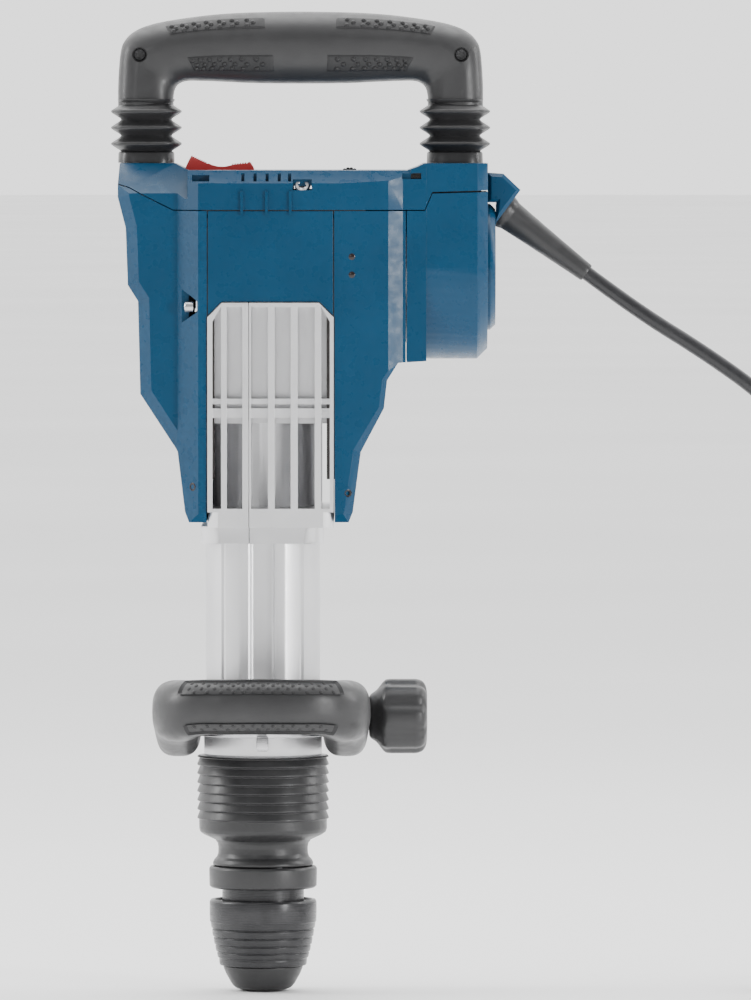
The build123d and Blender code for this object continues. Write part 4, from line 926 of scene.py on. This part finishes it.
def make_painted_shade_strips():
    """Near-black strips inside the covers, behind their open joints, closing them as a real housing's inner
    ribs do; their near-black colour is painted shade for the hollows behind the joints.
    """
    strips = (
        ((-35.5, -27.5), (55.4, 56.4), (300.0, 453.0)), ((37.4, 45.4), (55.4, 56.4), (300.0, 453.0)),
        ((-34.5, 60.0), (55.4, 56.4), (450.8, 459.4)), ((82.0, 97.0), (28.0, 29.0), (468.0, 477.6)),
        ((96.0, 127.0), (28.0, 29.0), (461.0, 472.0)),
    )
    work = bmesh.new()
    for (x0, x1), (y0, y1), (z0, z1) in strips:
        for side in (1, -1):
            low, high = sorted((side * y0, side * y1))
            corners = [Vector((x, y, z)) * MM for x in (x0, x1) for y in (low, high) for z in (z0, z1)]
            made = [work.verts.new(c) for c in corners]
            for face in ((0, 1, 3, 2), (4, 6, 7, 5), (0, 4, 5, 1), (2, 3, 7, 6), (0, 2, 6, 4), (1, 5, 7, 3)):
                work.faces.new([made[k] for k in face])
    bmesh.ops.recalc_face_normals(work, faces=work.faces)
    mesh = bpy.data.meshes.new("painted_shade_strips")
    work.to_mesh(mesh)
    work.free()
    # painted shade: the near-black lamp material makes these strips stand in for the shadow behind the joints
    finish_piece("painted_shade_strips", mesh, "housing", "dark_plastic", "lamp")


# ---- side handle ---------------------------------------------------------------------------------------
SIDE_ARM_X = 48.2
SIDE_FRONT_Y = -124.5
SIDE_REAR_Y = 29.0
SIDE_CORNER = 30.0


def side_path(t):
    """Centre line of the loop from above, as (place, direction): right arm, bar, then left arm."""
    arm = SIDE_REAR_Y - (SIDE_FRONT_Y + SIDE_CORNER)
    bar = 2 * (SIDE_ARM_X - SIDE_CORNER)
    arc = math.pi / 2 * SIDE_CORNER
    total = 2 * arm + bar + 2 * arc
    s = t * total
    if s > total / 2:
        place, direction = side_path(1 - t)
        return Vector((-place.x, place.y)), Vector((direction.x, -direction.y))
    if s < arm:
        return Vector((SIDE_ARM_X, SIDE_REAR_Y - s)), Vector((0, -1))
    if s < arm + arc:
        a = (s - arm) / SIDE_CORNER
        centre = Vector((SIDE_ARM_X - SIDE_CORNER, SIDE_FRONT_Y + SIDE_CORNER))
        offset = Vector((math.cos(a), -math.sin(a))) * SIDE_CORNER
        return centre + offset, Vector((-math.sin(a), -math.cos(a)))
    return Vector((SIDE_ARM_X - SIDE_CORNER - (s - arm - arc), SIDE_FRONT_Y)), Vector((-1, 0))


def side_point(t, angle):
    """A point of the side handle's skin; the angle starts at the outside and goes up."""
    place, direction = side_path(t)
    outward = Vector((-direction.y, direction.x))
    along = abs(t - 0.5) * 2
    half_w, half_h, mid_z, power = smooth_steps((
        (0.0, 15.2, 15.9, 172.0, 2.5), (0.14, 15.2, 15.8, 171.8, 2.5), (0.30, 14.8, 17.6, 168.6, 2.6),
        (0.52, 13.2, 20.2, 160.2, 3.0), (0.93, 12.4, 20.4, 159.4, 3.2), (0.975, 11.0, 18.4, 159.4, 3.0),
        (1.0, 7.0, 12.6, 159.4, 2.6),
    ), along)
    c, s = math.cos(angle), math.sin(angle)
    u = half_w * math.copysign(abs(c) ** (2 / power), c)
    v = half_h * math.copysign(abs(s) ** (2 / power), s)
    return Vector((place.x + outward.x * u, place.y + outward.y * u, mid_z + v))


def side_normal(t, angle):
    step = 0.003
    along = side_point(min(t + step, 1), angle) - side_point(max(t - step, 0), angle)
    around = side_point(t, angle + step) - side_point(t, angle - step)
    return along.cross(around).normalized()


def make_side_handle():
    rings = []
    count = 150
    for i in range(count + 1):
        rings.append([side_point(i / count, math.tau * j / 64) for j in range(64)])
    mesh = ring_mesh("side_handle_loop", rings)
    loop = finish_piece("side_handle_loop", mesh, "side_handle", "dark_plastic", sharp_angle=60)
    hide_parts("aux_handle")
    for name, t_low, t_high, a_low, a_high, rows, columns in (
        ("side_grip_pad_upper", 0.395, 0.605, 24, 66, 4, 13),
        ("side_grip_pad_lower", 0.402, 0.598, -58, -28, 2, 12),
    ):
        side_pad(name, t_low, t_high, math.radians(a_low), math.radians(a_high), rows, columns)


def side_pad(name, t_low, t_high, a_low, a_high, rows, columns):
    """A let-in panel of the bar with staggered nubs."""
    across, down = 40, 12
    lift, sink = 0.55, -1.2
    work = bmesh.new()
    grid = []
    for i in range(across + 1):
        line = []
        for j in range(down + 1):
            t = t_low + (t_high - t_low) * i / across
            a = a_low + (a_high - a_low) * j / down
            height = sink if i in (0, across) or j in (0, down) else lift
            line.append(work.verts.new((side_point(t, a) + side_normal(t, a) * height) * MM))
        grid.append(line)
    for i in range(across):
        for j in range(down):
            work.faces.new((grid[i][j], grid[i + 1][j], grid[i + 1][j + 1], grid[i][j + 1]))
    for row in range(rows):
        for k in range(columns):
            t = t_low + (t_high - t_low) * (k + 0.75 + 0.5 * (row % 2)) / (columns + 1)
            a = a_low + (a_high - a_low) * (row + 0.8) / (rows + 0.6)
            normal = side_normal(t, a)
            add_nub(work, side_point(t, a) + normal * lift, normal, 1.45)
    bmesh.ops.recalc_face_normals(work, faces=work.faces)
    mesh = bpy.data.meshes.new(name)
    work.to_mesh(mesh)
    work.free()
    finish_piece(name, mesh, "side_handle", "soft_grip", sharp_angle=70)


def make_knob():
    """Clamp knob: eight shallow flutes, a conical neck, and its steel bolt."""
    low, high, radius = 61.8, 95.6, 21.6
    profile = [
        (0.01, low), (11.0, low), (12.8, low + 1.0), (15.0, low + 4.4), (20.0, low + 8.2), (21.3, low + 9.8),
        (radius, low + 12.0), (radius, high - 6.0), (20.4, high - 2.6), (17.4, high - 0.7), (13.0, high),
        (0.01, high),
    ]

    def fluted(angle, r, height):
        share = min(1.0, max(0.0, (height - low - 6.0) / 7.0)) * min(1.0, max(0.0, r - 12.0) / 6.0)
        flute = (0.5 - 0.5 * math.cos(8 * angle)) ** 2.4
        return r - 1.6 * flute * share

    turn = Matrix(((0, 0, 1, 0), (1, 0, 0, -47.5), (0, 1, 0, 162.5), (0, 0, 0, 1)))
    mesh = lathe("fluted_knob", rounded(profile, 2.2, 4), 192, fluted, turn)
    knob = finish_piece("fluted_knob", mesh, "clamp_knob", "dark_plastic", sharp_angle=50)
    bolt_profile = rounded([(0.01, -53.0), (3.6, -53.0), (4.0, -52.0), (4.0, 66.0), (0.01, 66.0)], 0.4, 2)
    finish_piece("clamp_bolt", lathe("clamp_bolt", bolt_profile, 48, to_world=turn), "clamp_knob", "steel")
    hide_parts("clamp_knob")


# ---- switch, screws and small pieces -------------------------------------------------------------------
def make_rocker():
    """Red two-sided rocker with a serrated ramp at each end."""
    top = [(-45.6, 477.6), (-44.6, 480.6), (-43.0, 484.0), (-41.6, 486.4)]
    left_teeth, right_teeth = 8, 6
    for i in range(left_teeth):
        x = -41.0 + i * 1.15
        z = 486.8 - i * 0.52
        top += [(x, z), (x + 0.2, z - 1.0)]
    top += [(-31.6, 482.2), (-29.4, 481.2), (-26.0, 480.4), (-22.4, 480.3), (-19.4, 480.9), (-18.0, 481.3)]
    for i in range(right_teeth):
        x = -17.4 + i * 1.5
        z = 482.2 + i * 0.16
        top += [(x, z), (x + 0.3, z - 1.0)]
    top += [(-8.0, 483.2), (-7.0, 482.6), (-5.2, 479.6), (-4.7, 477.6)]
    outline = [*top, (-9.0, 471.0), (-20.0, 468.4), (-28.0, 468.4), (-40.0, 472.0)]
    mesh = prism("rocker_cap", outline, -8.2, 8.2)
    rocker = finish_piece("rocker_cap", mesh, "rocker", "red_plastic", sharp_angle=35)
    bevel = rocker.modifiers.new("edges", "BEVEL")
    bevel.width = 0.12 * MM
    bevel.segments = 2
    bevel.limit_method = "ANGLE"
    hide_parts("rocker_switch")


def cap_screw(name, place, direction, radius, length, body="housing", material="steel"):
    """A bright cylinder-head screw with a star recess."""
    direction = Vector(direction).normalized()
    side = direction.orthogonal().normalized()
    up = direction.cross(side)
    turn = Matrix((side, up, -direction)).transposed().to_4x4()
    turn.translation = Vector(place)
    recess = radius * 0.52

    def star(angle, r, height):
        return r * (1 + 0.13 * math.cos(6 * angle)) if abs(r - recess) < 0.02 else r

    profile = [
        (0.01, -length), (radius, -length), (radius, -0.5), (radius - 0.5, 0.0), (recess + 0.2, 0.0),
        (recess, -0.2), (recess, -1.6), (0.01, -2.0),
    ]
    mesh = lathe(name, profile, 72, star, turn)
    slot_name = "steel" if material == "steel" else "dark_steel"
    return finish_piece(name, mesh, body, slot_name, material, sharp_angle=35)


def make_screws():
    for side, word in ((-1, "front"), (1, "rear")):
        cap_screw(f"top_cover_screw_{word}", (23.2, side * 55.6, 470.0), (0, -side, -0.55), 4.2, 2.5)
        cover_screw = cap_screw(f"left_cover_screw_{word}", (-44.8, side * 54.0, 399.6), (1, 0, 0), 3.1, 5.0)
        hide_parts("housing_screws")
        for x, where in zip(SCREW_X, ("left", "right")):
            screw = cap_screw(
                f"handle_screw_{where}_{word}", (x, side * 13.6, SCREW_Z), (0, -side, 0), 3.6, 2.0,
                "main_handle", "dark_steel",
            )
            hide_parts("handle_screws")


def make_details():
    """Deep-set cover screws at the foot of the housing, and the lug of the side handle's band."""
    for side, word in ((-1, "front"), (1, "rear")):
        slanted = (0.7, -side * 0.7, 0)
        cap_screw(f"left_well_{word}", (-40.3, side * 56.9, 295.6), slanted, 2.7, 1.6, material="lamp")
        cap_screw(f"right_well_{word}", (49.6, side * 59.9, 292.0), (0, -side, 0), 2.3, 1.6, material="lamp")
    lug = [(-3.4, 141.6), (3.4, 141.6), (3.4, 150.0), (-3.4, 150.0)]
    mesh = prism("clamp_lug", lug, -41.4, -37.4, 0.8)
    finish_piece("clamp_lug", mesh, "side_handle", "steel")


def make_lamps():
    """Two dark round service lamps in the right cover, front only."""
    for i, z in enumerate((428.6, 418.2)):
        turn = Matrix(((1, 0, 0, 51.9), (0, 0, -1, -59.3), (0, 1, 0, z), (0, 0, 0, 1)))
        profile = rounded([(0.01, -1.0), (1.9, -1.0), (1.9, 0.35), (0.01, 0.75)], 0.3, 2)
        mesh = lathe(f"service_lamp_{i}", profile, 32, to_world=turn)
        finish_piece(f"service_lamp_{i}", mesh, "housing", "dark_plastic", "lamp")


# ---- CAD nodes that stay -------------------------------------------------------------------------------
def dress_cad():
    """Gives every CAD node its material, and soft edges to those that show."""
    slots = {row["node"]: row["material_slot"] for row in frame["record"]["subparts"]}
    rounded_edges = {
        "top_cover": 0.7, "left_cover": 0.8, "service_panels": 0.4, "right_cover": 0.8, "motor_housing": 0.8,
        "motor_end_cap": 1.2, "cord_guard": 1.2, "gear_housing_left": 0.6, "gear_housing_right": 0.6,
        "barrel_housing": 0.4, "clamp_band": 0.5, "speed_dial": 0.3,
    }
    for name in NODES:
        material = slots[name]
        bevel_cad(name, rounded_edges.get(name, 0.0), material)


make_camera()
make_studio()
dress_cad()
make_cord()
make_cord_boot()
make_main_handle()
make_grip_pads()
make_bellows()
make_springs()
make_front_boot()
make_nose()
make_barrel()
make_painted_shade_strips()
make_side_handle()
make_knob()
make_rocker()
make_screws()
make_details()
make_lamps()
